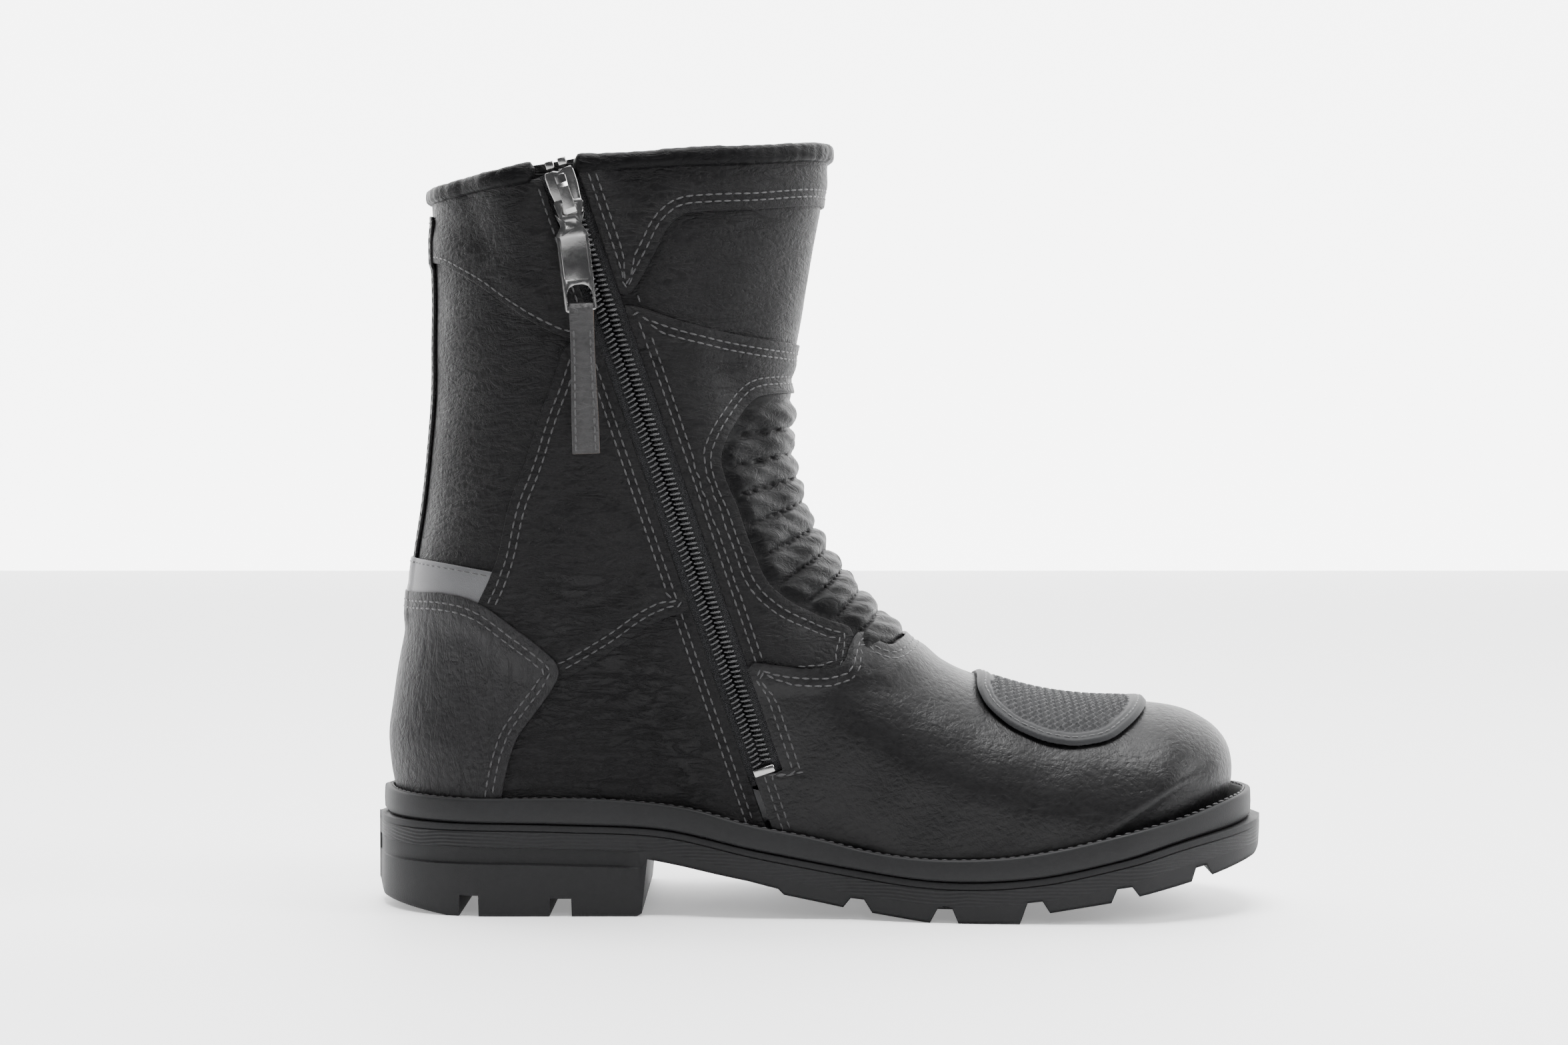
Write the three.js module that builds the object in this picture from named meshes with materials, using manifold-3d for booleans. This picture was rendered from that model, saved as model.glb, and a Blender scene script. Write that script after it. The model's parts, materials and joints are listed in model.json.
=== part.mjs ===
// Left touring boot with a straight side zip, in millimetres.
// +X points to the toe, +Y to the outer side of the foot, +Z up.
// The origin is on the ground face of the heel.
//
// The upper is one smooth body seen from the side. Its rear line, front line and floor give the
// side view, and a half width at every point of that view gives the two walls. Every layer is the
// space between two such bodies, and every panel is a piece of a layer cut out in side view.
import * as THREE from "three";
import { mergeVertices } from "three/addons/utils/BufferGeometryUtils.js";
import Module from "manifold-3d";

const wasm = await Module();
wasm.setup();

// ---------------------------------------------------------------- driving dimensions
const soleLength = 310; // back of the heel to the tip of the toe
const bootHeight = 266; // ground to the front of the collar
const shaftWidth = 98; // across the collar
const footWidth = 99; // upper across the ball of the foot

const gap = 0.3; // between pieces that touch
const weld = 0.1; // how far solids that are joined reach into each other
const leather = 2; // outer leather with its backing
const foam = 2.4; // pads and stiffeners behind the leather
const lining = 1;
const collarOver = 1; // how far the collar piping stands over the leather

const boardThickness = 2.4; // insole board
const footbedThickness = 4;
const footbedClear = 1; // round the footbed, which lifts out
const midsoleFloor = 3; // midsole under the insole board
const rimLip = 3.5; // sole rim beyond the upper at the sides
const rimClear = 0.5; // between the upper and the rim round it
const shankLength = 100;
const shankWidth = 15;
const shankThickness = 1.2;
const guardThickness = 2.2; // moulded toe guard
const stayWidth = 25; // strip down the middle of the back

const liningSlot = 24; // opening in the lining behind the zip
const zipTapeReach = 12.5; // tape width from the zip's centre line
const zipTape = 0.8;
const tapeSet = 0.7; // tape behind the back of the leather
const tapePast = 3; // tape past the zip's end
const coilInner = 0.75; // centre line to the near side of a coil
const coilWidth = 2.9;
const coilProud = 0.8; // coils over the leather
const sliderLength = 16;
const sliderWall = 1.15;
const sliderClear = 0.9; // slider to the leather edges
const plate = 1.3; // slider plates
const tabLength = 37.5;
const tabThickness = 1.4;
const tabFrame = 1; // each side of the tab's window
const strapLength = 51;
const strapWidth = 8;
const strapThickness = 2.8; // two layers

const coilOuter = coilInner + coilWidth;
const sliderWidth = 2 * (coilOuter + gap + sliderWall);
const zipSlot = sliderWidth + 2 * sliderClear; // opening between the leather edges
const tabWidth = strapWidth + 2 * (gap + tabFrame);

// ---------------------------------------------------------------- side view of the boot
// The outlines below are drawn for a boot 310 long and 266 high. Lengths run with the sole, and
// heights over the ankle run with the shaft.
const ankleHeight = 120;
const lengthScale = soleLength / 310;
const shaftScale = (bootHeight - ankleHeight) / (266 - ankleHeight);
const shaftWidthScale = shaftWidth / 98;
const footWidthScale = footWidth / 99;

const raise = (z) => (z < ankleHeight ? z : ankleHeight + (z - ankleHeight) * shaftScale);
const fit = (points) => points.map(([x, z, ...rest]) => [x * lengthScale, raise(z), ...rest]);

// Faces of cutting tools that stay clear of the boot.
const farBack = -100 * lengthScale;
const farFront = 400 * lengthScale;
const farDown = -50;
const farUp = raise(300);
const farSide = Math.max(shaftWidth, footWidth);

// A smooth y(x) through [x, y] points, level beyond its ends.
function profile(points) {
  const last = points.length - 1;
  const slope = (i) => {
    const a = points[Math.max(i - 1, 0)];
    const b = points[Math.min(i + 1, last)];
    return (b[1] - a[1]) / (b[0] - a[0]);
  };
  return (x) => {
    if (x <= points[0][0]) return points[0][1];
    if (x >= points[last][0]) return points[last][1];
    const i = points.findIndex((p, k) => k < last && x <= points[k + 1][0]);
    const [x0, y0] = points[i];
    const [x1, y1] = points[i + 1];
    const h = x1 - x0;
    const t = (x - x0) / h;
    const rise = (2 * t - 3) * t * t * (y0 - y1) + y0;
    return rise + t * (t - 1) * h * ((t - 1) * slope(i) + t * slope(i + 1));
  };
}

// Lower and upper edge of the sole rim.
const rimBottomAt = profile(fit([[-43, 31.6], [-10, 32], [25, 31.4], [60, 29.6], [95, 22.5],
  [125, 17], [155, 14], [185, 15.6], [215, 21.9], [238, 27.6], [262, 31.5]]));
const rimTopAt = profile(fit([[-43, 41], [-10, 40.3], [35, 40.2], [67, 37.3], [88, 32.1],
  [110, 27.7], [127, 23.6], [144, 21.6], [160, 21.4], [177, 22.5], [193, 25.2], [215, 30.4],
  [234, 34.6], [252, 39.4], [262, 41]]));
const floorAt = (x) => rimBottomAt(x) + midsoleFloor;

// Rear and front lines from the collar down, each [x, z, depth of the rounded edge].
// Their last point lies under the floor, so that the wall ends on the floor.
const spline = (points) => {
  const path = new THREE.CatmullRomCurve3(
    fit(points).map(([x, z, r]) => new THREE.Vector3(x, z, r * lengthScale)),
    false, "catmullrom", 0.5);
  return path.getPoints((points.length - 1) * 8);
};
const rearLine = spline([[-24, 275, 58], [-23.7, 250, 58], [-22.6, 222, 57], [-22.6, 195, 56],
  [-23.4, 166, 54], [-26, 143, 50], [-29, 120, 46], [-33, 97, 42], [-37.2, 73, 38],
  [-39.2, 60, 36], [-38.4, 50, 36], [-36.6, 40, 36], [-34.5, 28, 36]]);
const frontLine = spline([[118.5, 275, 62], [115.8, 261, 62], [112.5, 242, 60], [109.5, 225, 58],
  [106.5, 207.6, 57], [103.5, 190, 56], [102, 172, 55], [102, 160, 54], [104, 148, 52],
  [108.5, 135, 50], [115, 123.5, 48], [123, 112.5, 46], [132, 102.5, 44], [141, 94.5, 42],
  [150, 88, 40], [162, 81.3, 40], [175, 76.5, 40], [190, 72.6, 40], [205, 70.6, 40],
  [222, 70, 40], [236, 68.6, 42], [246, 65, 46], [252.5, 60, 50], [256, 54, 52],
  [256.8, 46, 52], [255, 38, 52], [251, 26, 52]]);

// Depth of a side-view point behind a line (positive inside) and the rounded depth there.
function depthBehind(line, side, x, z) {
  let best = { distance: Infinity };
  for (let i = 0; i < line.length - 1; i++) {
    const a = line[i];
    const dx = line[i + 1].x - a.x;
    const dz = line[i + 1].y - a.y;
    const along = ((x - a.x) * dx + (z - a.y) * dz) / (dx * dx + dz * dz);
    const t = THREE.MathUtils.clamp(along, 0, 1);
    const offX = x - a.x - t * dx;
    const offZ = z - a.y - t * dz;
    const distance = Math.hypot(offX, offZ);
    if (distance < best.distance) {
      const inside = Math.sign(side * (dx * offZ - dz * offX));
      best = { distance, depth: inside * distance, round: a.z + t * (line[i + 1].z - a.z) };
    }
  }
  return best;
}

// ---------------------------------------------------------------- widths
const footHalf = profile(fit([[-45, 36], [-20, 36.5], [20, 37], [70, 38.5], [110, 43], [150, 48.5],
  [185, 49.5], [220, 48], [260, 46]]));
const shaftHalf = profile([[80, 44], [110, 44.6], [130, 45.2], [160, 46.2], [195, 47.4],
  [230, 48.4], [270, 49.4]].map(([z, half]) => [raise(z), half]));
const middleAt = profile(fit([[-45, 0], [0, 0], [60, 1.5], [110, 1], [160, -1.5], [210, -4],
  [260, -7]]));
const underFloor = 3;

const smooth = (value, from, to) => THREE.MathUtils.smoothstep(value, from, to);
// Middle of the boot at a side-view point. It leaves the centre plane only on the foot.
const middleOf = (x, z) => middleAt(x) * (1 - smooth(z, 50, 110));
const quarter = (t) => Math.sqrt(Math.max(0, 1 - (1 - THREE.MathUtils.clamp(t, 0, 1)) ** 2));

// The zip lies straight between these two points, [x, y, z].
const [[zipTopX, zipTopZ], [zipEndX, zipEndZ]] = fit([[27.2, 244.7], [93.7, 49]]);
const zipTop = new THREE.Vector3(zipTopX, -shaftWidth / 2 + 0.2, zipTopZ);
const zipEnd = new THREE.Vector3(zipEndX, -42.5 * footWidthScale, zipEndZ);
const zipUp = zipTop.clone().sub(zipEnd).normalize();
const zipAcross = new THREE.Vector3(0, 1, 0).cross(zipUp).normalize();
const zipIn = zipUp.clone().cross(zipAcross);
const zipLength = zipTop.distanceTo(zipEnd);
const zipFlat = zipTapeReach + 0.5; // the wall is flat this far to each side of the zip
const zipFade = 21; // and takes up its own curve again over this width

// Distance of a side-view point from the zip's line, towards the toe.
const fromZip = (x, z) => (x - zipTop.x) * zipAcross.x + (z - zipTop.z) * zipAcross.z;

// The zip's line in side view: x at a height.
const zipXAt = (z) => zipTop.x + ((z - zipTop.z) * zipUp.x) / zipUp.z;

// Y of the wall at a side-view point. lift moves the wall outward, and side is -1 for the wall on
// the inner side of the foot. Under the floor the walls close within the depth underFloor.
function wallY(x, z, lift, side) {
  const rear = depthBehind(rearLine, 1, x, z);
  const front = depthBehind(frontLine, -1, x, z);
  const closing = quarter((z - floorAt(x)) / underFloor + 1);
  const rounding = quarter((rear.depth + lift) / (rear.round + lift)) *
    quarter((front.depth + lift) / (front.round + lift)) * closing;
  const up = smooth(z, 65, 120);
  const half = footHalf(x) * footWidthScale * (1 - up) + shaftHalf(z) * shaftWidthScale * up;
  const y = middleOf(x, z) + side * (half + lift) * rounding;
  if (side > 0) return y;
  const flat = 1 - smooth(Math.abs(fromZip(x, z)), zipFlat, zipFlat + zipFade);
  const flatY = zipTop.y - ((x - zipTop.x) * zipIn.x + (z - zipTop.z) * zipIn.z + lift) / zipIn.y;
  return y + (flatY * closing - y) * flat;
}

// ---------------------------------------------------------------- solids
const solids = {
  from(geometry) {
    const bare = new THREE.BufferGeometry();
    bare.setAttribute("position", geometry.getAttribute("position"));
    if (geometry.index) bare.setIndex(geometry.index);
    const merged = mergeVertices(bare, 1e-4);
    return new wasm.Manifold(new wasm.Mesh({
      numProp: 3,
      vertProperties: merged.getAttribute("position").array,
      triVerts: new Uint32Array(merged.index.array),
    }));
  },
  geometry(solid) {
    const mesh = solid.getMesh();
    const geometry = new THREE.BufferGeometry();
    geometry.setAttribute("position", new THREE.BufferAttribute(mesh.vertProperties, 3));
    geometry.setIndex(new THREE.BufferAttribute(mesh.triVerts, 1));
    return geometry;
  },
  // A cut leaves crumbs at the corners of panels: the piece is the largest body.
  largest(solid) {
    const bodies = solid.decompose();
    return bodies.reduce((a, b) => (b.volume() > a.volume() ? b : a));
  },
};

const cornerList = (points) => points.map(([x, y]) => new THREE.Vector2(x, y));

// A solid with the side-view outline points, from y0 to y1.
function sidePrism(points, y0 = -farSide, y1 = farSide) {
  const shape = new THREE.Shape(cornerList(points));
  const geometry = new THREE.ExtrudeGeometry(shape, { depth: y1 - y0, bevelEnabled: false });
  return solids.from(geometry.rotateX(Math.PI / 2).translate(0, y1, 0));
}

function box(x0, x1, y0, y1, z0, z1) {
  const geometry = new THREE.BoxGeometry(x1 - x0, y1 - y0, z1 - z0);
  return solids.from(geometry.translate((x0 + x1) / 2, (y0 + y1) / 2, (z0 + z1) / 2));
}

// The outline moved out by a distance along its corners' bisectors.
function grow(points, distance) {
  const count = points.length;
  const area = points.reduce((sum, [x, z], i) => {
    const [nextX, nextZ] = points[(i + 1) % count];
    return sum + x * nextZ - nextX * z;
  }, 0);
  const out = Math.sign(area) * distance;
  return points.map(([x, z], i) => {
    const before = points[(i + count - 1) % count];
    const after = points[(i + 1) % count];
    const a = new THREE.Vector2(x - before[0], z - before[1]).normalize();
    const b = new THREE.Vector2(after[0] - x, after[1] - z).normalize();
    const miter = new THREE.Vector2(a.y + b.y, -a.x - b.x);
    const length = Math.max(miter.lengthSq() / 2, 0.4);
    return [x + (out * miter.x) / length, z + (out * miter.y) / length];
  });
}

// ---------------------------------------------------------------- the boot's body
// Each section joins a point of the rear line or the floor to one of the front line. The rear
// number counts points of the rear line, or gives a distance along the floor with floor: x.
const sections = [[0, 0], [1, 1.2], [2, 3], [3, 5], [4, 6.6], [4.6, 7.8], [5.4, 8.8], [6, 9.5],
  [6.6, 10.2], [7.3, 11], [8, 12], [9, 12.5], [10, 13]];
const floorSections = [[-36, 13.4], [-22, 13.8], [0, 14.2], [25, 14.6], [50, 15], [74, 15.4],
  [95, 15.8], [115, 16.2], [135, 16.8], [155, 17.4], [176, 18.2], [197, 19.1], [217, 19.9],
  [231, 20.7], [242, 21.6], [248, 22.6], [252, 24]];

// A point of a line at a count of its corners, moved out by lift.
function linePoint(line, side, count, lift) {
  const i = Math.round(count * 8);
  const before = line[Math.max(i - 1, 0)];
  const after = line[Math.min(i + 1, line.length - 1)];
  const along = new THREE.Vector2(after.x - before.x, after.y - before.y).normalize();
  return [line[i].x + side * along.y * lift, line[i].y - side * along.x * lift];
}

function sectionEnds(lift) {
  const walls = sections.map(([rear, front]) => [linePoint(rearLine, 1, rear, lift),
    linePoint(frontLine, -1, front, lift)]);
  const rearEnd = linePoint(rearLine, 1, 11, lift)[0];
  const floors = floorSections.map(([x, front], i) => {
    const floorX = i === 0 ? rearEnd : x * lengthScale + lift * smooth(x, 190, 250);
    return [[floorX, floorAt(floorX) - underFloor], linePoint(frontLine, -1, front, lift)];
  });
  return [...walls, ...floors];
}

// Where the corners of a section lie along it, from 0 at the rear to 1 at the front and back.
// On the zip's side the nearest corners move onto the edges of the flat strip.
const around = 26; // corners of each section
function ringShares(rear, front) {
  const shares = Array.from({ length: around }, (_, j) =>
    (1 - Math.cos((2 * Math.PI * j) / around)) / 2);
  const from = fromZip(...rear);
  const span = fromZip(...front) - from;
  for (const edge of [-zipFlat, zipFlat]) {
    const share = (edge - from) / span;
    const j = Math.round((around * Math.acos(1 - 2 * THREE.MathUtils.clamp(share, 0, 1))) /
      (2 * Math.PI));
    if (j > 0 && 2 * j < around) shares[j] = share;
  }
  return shares;
}

// The closed body inside the walls at a lift.
function bootBody(lift) {
  const rings = sectionEnds(lift).map(([rear, front]) =>
    ringShares(rear, front).map((t, j) => {
      const x = rear[0] + (front[0] - rear[0]) * t;
      const z = rear[1] + (front[1] - rear[1]) * t;
      const onEdge = j === 0 || 2 * j === around;
      if (onEdge) return [x, middleOf(x, z), z];
      return [x, wallY(x, z, lift, 2 * j < around ? -1 : 1), z];
    }));
  const centre = (ring) => [0, 1, 2].map((k) => ring.reduce((sum, p) => sum + p[k], 0) / around);
  const positions = [...rings.flat(), centre(rings[0]), centre(rings.at(-1))].flat();
  const index = [];
  const lastRing = (rings.length - 1) * around;
  for (let j = 0; j < around; j++) {
    const next = (j + 1) % around;
    for (let ring = 0; ring < lastRing; ring += around) {
      const [a, b, c, d] = [ring + j, ring + around + j, ring + around + next, ring + next];
      // The split of each face follows the zip, whose corners climb on the wall and fall back
      // over the floor.
      index.push(...(ring < (sections.length - 1) * around ? [a, b, c, a, c, d]
        : [a, b, d, d, b, c]));
    }
    index.push(rings.length * around, j, next);
    index.push(rings.length * around + 1, lastRing + next, lastRing + j);
  }
  const geometry = new THREE.BufferGeometry();
  geometry.setAttribute("position", new THREE.Float32BufferAttribute(positions, 3));
  geometry.setIndex(index);
  return solids.from(geometry);
}

// The wall between two lifts. It is cut off over the floor and at the collar later.
const layer = (outer, inner) => bootBody(outer).subtract(bootBody(inner));

// ---------------------------------------------------------------- lines of the panels
const zipPoint = (z) => [zipXAt(z), z];
const onZip = (height) => zipPoint(raise(height));
const collarRear = fit([[-60, 247.6], [-21, 249], [-6, 251], [7, 253], [20, 256]]);
const collarFront = fit([[31, 257.5], [49, 258], [71, 260], [92, 261.3], [114, 264.4], [122, 266],
  [160, 267]]);
const pipingRear = fit([[-60, 242.5], [-21, 244], [-3, 246], [18, 248.4]]);
const pipingFront = fit([[32, 250.8], [49, 252.7], [71, 254], [92, 255.3], [118, 259],
  [160, 260.4]]);
const heelEdge = fit([[-60, 108.5], [-30, 109], [-18, 110], [-8, 109], [0, 106], [10, 98],
  [19, 91], [23, 87], [24, 83], [21, 77], [15, 69], [9, 61], [6, 52], [4, 42], [3, 30], [3, 0],
  [-60, 0]]);
const ankleRear = fit([[27, 196], [23, 183], [18, 170], [13, 154], [8, 142], [6, 134], [4, 124],
  [1, 115], [-2, 109], [-6, 100]]);
const ankleBottom = fit([[8, 84], [24, 80.5], [31, 84], [44, 92], [55, 100], [63, 103.3]]);
const quarterTail = fit([[105, 48], [109, 45], [114, 36], [121, 28], [126, 22], [131, 12],
  [131, 0]]);
const vampTop = fit([[92, 87], [103, 85], [114, 84], [120, 85], [121.5, 91], [124, 95.5],
  [128, 95.5], [133, 91.6], [136.5, 90.4], [140, 92], [145, 95], [150, 101]]);
const bandBottom = fit([[48, 210.5], [51, 214], [57, 225], [61, 233.5], [66, 238], [77, 239],
  [92, 240], [115, 244], [160, 247]]);
const yokeTop = fit([[48, 207.5], [54, 206], [65, 202], [77, 199], [92, 196.4], [107, 195],
  [160, 193]]);
const flexEdge = fit([[160, 179], [104, 178.6], [91, 177.6], [86, 173], [80.5, 164], [78, 156],
  [80.2, 147.8], [84, 139.3], [87.5, 128.8], [92.8, 114.7], [102, 106.3], [114, 100.6],
  [124, 97]]);
const rearTopSeam = fit([[-60, 231], [-18, 223], [-10, 218.5], [-3, 214.5], [7, 207.5],
  [16, 201.5], [27, 196]]);
const stripTop = fit([[-60, 121], [-27, 121], [-15, 120], [-4, 118.4], [12, 116]]);
const guardEdge = fit([[166, 90], [168, 81], [166, 76], [169, 70], [177, 63.5], [188, 59],
  [199, 57.3], [211, 59], [221, 65], [229, 71.3], [232, 90]]);

// Each panel's side-view outline. An earlier panel lies over a later one.
const outlines = {
  heel_cover: heelEdge,
  ankle: [...ankleRear, ...ankleBottom, onZip(106), onZip(196)],
  reflective_strip: [...stripTop, ...fit([[12, 104], [-60, 104]])],
  rear_top: [...rearTopSeam, onZip(195), zipPoint(farUp), [-60, farUp]],
  back: fit([[-60, 235], [35, 235], [35, 100], [-60, 100]]),
  quarter: [onZip(112), onZip(49), ...quarterTail, ...fit([[-20, 0], [-20, 112]])],
  vamp: [onZip(88), ...vampTop, ...fit([[320, 101], [320, 0]]), [zipXAt(0), 0]],
  collar_band: [onZip(210), ...bandBottom, [200, farUp], zipPoint(farUp)],
  yoke: [onZip(206), ...yokeTop, ...flexEdge, ...fit([[122, 80]]), onZip(80)],
  flex: [...flexEdge, ...fit([[124, 85], [180, 85]])],
  shin: [onZip(262), [200, raise(262)], [200, raise(188)], onZip(188)],
};

// ---------------------------------------------------------------- upper
const boardTop = (x) => floorAt(x) + boardThickness;
const alongFloor = Array.from({ length: 23 }, (_, i) => (-60 + i * 15) * lengthScale);
const aboveLine = (heightAt) => sidePrism([...alongFloor.map((x) => [x, heightAt(x)]),
  [alongFloor.at(-1), farUp], [alongFloor[0], farUp]]);
const belowLine = (heightAt) => sidePrism([...alongFloor.map((x) => [x, heightAt(x)]),
  [alongFloor.at(-1), farDown], [alongFloor[0], farDown]]);
const underCollar = (drop) => sidePrism([...[...collarRear, ...collarFront].map(([x, z]) =>
  [x, z - drop]), [farFront, farDown], [farBack, farDown]]);

// The zip's own frame: x to the toe, y into the boot and z up along the zip. Its origin is the
// middle of the closed slider, on the leather's outer face.
const zipMatrix = new THREE.Matrix4().makeBasis(zipAcross, zipIn, zipUp).setPosition(zipTop);
const inZipFrame = (solid) => solid.transform(zipMatrix.elements);

// Reach of the zip's cutting tools out of the wall, into the boot and over the zip.
const zipCutOut = 30;
const zipCutIn = 25;
const zipCutUp = farUp - zipTop.z;

// A strip along the zip through the wall, ending below the zip's end.
const zipStrip = (halfWidth, below) =>
  inZipFrame(box(-halfWidth, halfWidth, -zipCutOut, zipCutIn, -zipLength - below, zipCutUp));

// Room for the tape and all that lies behind it.
const tapeFace = leather + tapeSet; // outer face of the tape
const tapeRoom = inZipFrame(box(-zipFlat, zipFlat, tapeFace - gap, zipCutIn,
  -zipLength - tapePast - gap, zipCutUp));

// The two sides of the boot.
const innerHalf = box(farBack, farFront, -farSide, 0, farDown, farUp);
const outerHalf = box(farBack, farFront, 0, farSide, farDown, farUp);

// The outer side has one plain seam on the zip's line.
const hair = 0.01;
const seamFoot = raise(49);
const seamStrip = sidePrism(grow([zipPoint(seamFoot), zipPoint(farUp),
  [zipXAt(farUp) + hair, farUp], [zipXAt(seamFoot) + hair, seamFoot]], gap / 2), 0, farSide);

// The outer leather, open at the collar, the zip and the floor.
let hide = layer(0, -leather)
  .intersect(aboveLine((x) => boardTop(x) + gap))
  .subtract(zipStrip(zipSlot / 2, 0))
  .subtract(tapeRoom)
  .subtract(seamStrip);

// Cuts a panel out of what is left of the hide, and keeps the seam's gap round it.
function takePanel(cutter, clearance) {
  const panel = hide.intersect(cutter);
  hide = hide.subtract(clearance);
  return panel;
}
const takeOutline = (points) => takePanel(sidePrism(points), sidePrism(grow(points, gap)));

const pieces = new Map();
const finishes = {
  leather: { color: 0x1c1b1d, roughness: 0.55, metalness: 0 },
  gloss: { color: 0x18181a, roughness: 0.4, metalness: 0 },
  rubber: { color: 0x222326, roughness: 0.75, metalness: 0 },
  reflective: { color: 0x55575a, roughness: 0.5, metalness: 0.1 },
  metal: { color: 0x8c8c90, roughness: 0.25, metalness: 1 },
  coil: { color: 0x0c0c0d, roughness: 0.35, metalness: 0 },
  fabric: { color: 0x2a2b2e, roughness: 0.95, metalness: 0 },
  board: { color: 0x6d5a42, roughness: 0.9, metalness: 0 },
  steel: { color: 0xa0a0a4, roughness: 0.35, metalness: 1 },
  foam: { color: 0x3a3a3c, roughness: 0.95, metalness: 0 },
};

function addPiece(name, solid, finish) {
  pieces.set(name, { geometry: solids.geometry(solids.largest(solid)), finish });
}

// Collar piping: a padded roll that closes the top of leather and lining.
const pipingInner = -(leather + foam + lining + 3 * gap);
const pipingBand = layer(collarOver, pipingInner)
  .intersect(underCollar(0))
  .subtract(tapeRoom)
  .subtract(zipStrip(zipSlot / 2, 0))
  .subtract(seamStrip);
const overPiping = (drop) => sidePrism([...[...pipingRear, ...pipingFront].map(([x, z]) =>
  [x, z - drop]), [farFront, farUp], [farBack, farUp]]);
const frontOfZip = sidePrism([zipPoint(farDown), [farFront, farDown], [farFront, farUp],
  zipPoint(farUp)]);
const rolled = pipingBand.intersect(overPiping(0));
addPiece("collar_piping_front", rolled.intersect(frontOfZip), "gloss");
addPiece("collar_piping_rear", rolled.subtract(frontOfZip), "gloss");
hide = hide.subtract(overPiping(gap));

addPiece("heel_cover", takeOutline(outlines.heel_cover), "leather");

const ankle = takeOutline(outlines.ankle);
addPiece("medial_ankle_panel", ankle.intersect(innerHalf), "leather");
addPiece("lateral_ankle_panel", ankle.intersect(outerHalf), "leather");

addPiece("reflective_strip", takeOutline(outlines.reflective_strip), "reflective");

const stayBox = (extra) => box(farBack, 0, -stayWidth / 2 - extra, stayWidth / 2 + extra, 60,
  raise(243));
addPiece("back_stay", takePanel(stayBox(0), stayBox(gap)), "leather");

const rearTop = takeOutline(outlines.rear_top);
addPiece("medial_rear_top_panel", rearTop.intersect(innerHalf), "leather");
addPiece("lateral_rear_top_panel", rearTop.intersect(outerHalf), "leather");

const back = takeOutline(outlines.back);
addPiece("medial_back_panel", back.intersect(innerHalf), "leather");
addPiece("lateral_back_panel", back.intersect(outerHalf), "leather");

const quarterSkin = takeOutline(outlines.quarter);
addPiece("medial_quarter", quarterSkin.intersect(innerHalf), "leather");
addPiece("lateral_quarter", quarterSkin.intersect(outerHalf), "leather");

addPiece("vamp", takeOutline(outlines.vamp), "leather");
addPiece("collar_band", takeOutline(outlines.collar_band), "leather");
addPiece("front_yoke", takeOutline(outlines.yoke), "leather");
addPiece("flex_panel", takeOutline(outlines.flex), "gloss");
addPiece("shin_panel", takeOutline(outlines.shin), "leather");

// ---------------------------------------------------------------- toe guard and inner layers
const guardPrism = sidePrism(guardEdge);
addPiece("toe_guard", layer(gap + guardThickness, gap).intersect(guardPrism), "rubber");

const padOuter = -leather - gap;
const padInner = padOuter - foam;
const tapeClear = 1;
const zipCorridor = zipStrip(zipTapeReach + tapeClear, 12);
const padding = layer(padOuter, padInner)
  .intersect(aboveLine((x) => boardTop(x) + gap))
  .subtract(zipCorridor);
const padFrom = (points) => padding.intersect(sidePrism(fit(points)));
const disc = (x, z, radius, count) => Array.from({ length: count }, (_, i) => {
  const angle = (2 * Math.PI * i) / count;
  return [x + radius * Math.cos(angle), z + radius * Math.sin(angle)];
});
const anklePads = padFrom(disc(33.5, 124.3, 17.5, 16));
addPiece("medial_ankle_pad", anklePads.intersect(innerHalf), "foam");
addPiece("lateral_ankle_pad", anklePads.intersect(outerHalf), "foam");
addPiece("heel_counter", padFrom([[-60, 92], [-14, 92], [10, 62], [16, 30], [16, 0], [-60, 0]]),
  "board");
addPiece("toe_puff", padFrom([[205, 100], [196, 0], [320, 0], [320, 100]]), "board");
addPiece("flex_padding", padFrom([[160, 176], [92, 174], [84, 164], [82, 156], [92, 125],
  [100, 110], [124, 101], [160, 101]]), "foam");
addPiece("collar_padding_front", padFrom([[70, 250], [160, 256], [160, 216], [66, 216]]), "foam");

const liningOuter = padInner - gap;
const liningInner = liningOuter - lining;
const sock = layer(liningOuter, liningInner)
  .intersect(aboveLine((x) => boardTop(x) + gap))
  .subtract(overPiping(gap))
  .subtract(zipStrip(liningSlot / 2, 6));
addPiece("lining", sock, "fabric");

// Flap behind the zip, inside the lining.
const flapReach = 20;
const flapBody = layer(liningInner - gap, liningInner - gap - lining)
  .intersect(zipStrip(flapReach, -14))
  .subtract(overPiping(gap));
addPiece("zip_flap", flapBody, "leather");

// ---------------------------------------------------------------- sole
// Plan outline of the upper at the rim, moved out by a lip and stretched to the sole's ends.
function solePlan(lip, rearX, frontX) {
  const count = 20;
  const [toeX] = linePoint(frontLine, -1, 24, 0);
  const [heelX] = linePoint(rearLine, 1, 10, 0);
  const edge = (side) => Array.from({ length: count }, (_, i) => {
    const x = heelX + ((toeX - heelX) * (1 - Math.cos((Math.PI * (i + 0.5)) / count))) / 2;
    return [x, wallY(x, rimTopAt(x) + 4, 0, side)];
  });
  const outline = [[heelX, 0], ...edge(-1), [toeX, middleAt(toeX)], ...edge(1).reverse()];
  const grown = grow(outline, lip);
  const low = Math.min(...grown.map((p) => p[0]));
  const high = Math.max(...grown.map((p) => p[0]));
  const stretch = (x) => rearX + ((x - low) * (frontX - rearX)) / (high - low);
  return grown.map(([x, y]) => [stretch(x), y]);
}

function planPrism(points) {
  const shape = new THREE.Shape(cornerList(points));
  const depth = farUp - farDown;
  const geometry = new THREE.ExtrudeGeometry(shape, { depth, bevelEnabled: false });
  return solids.from(geometry.translate(0, 0, farDown));
}

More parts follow.
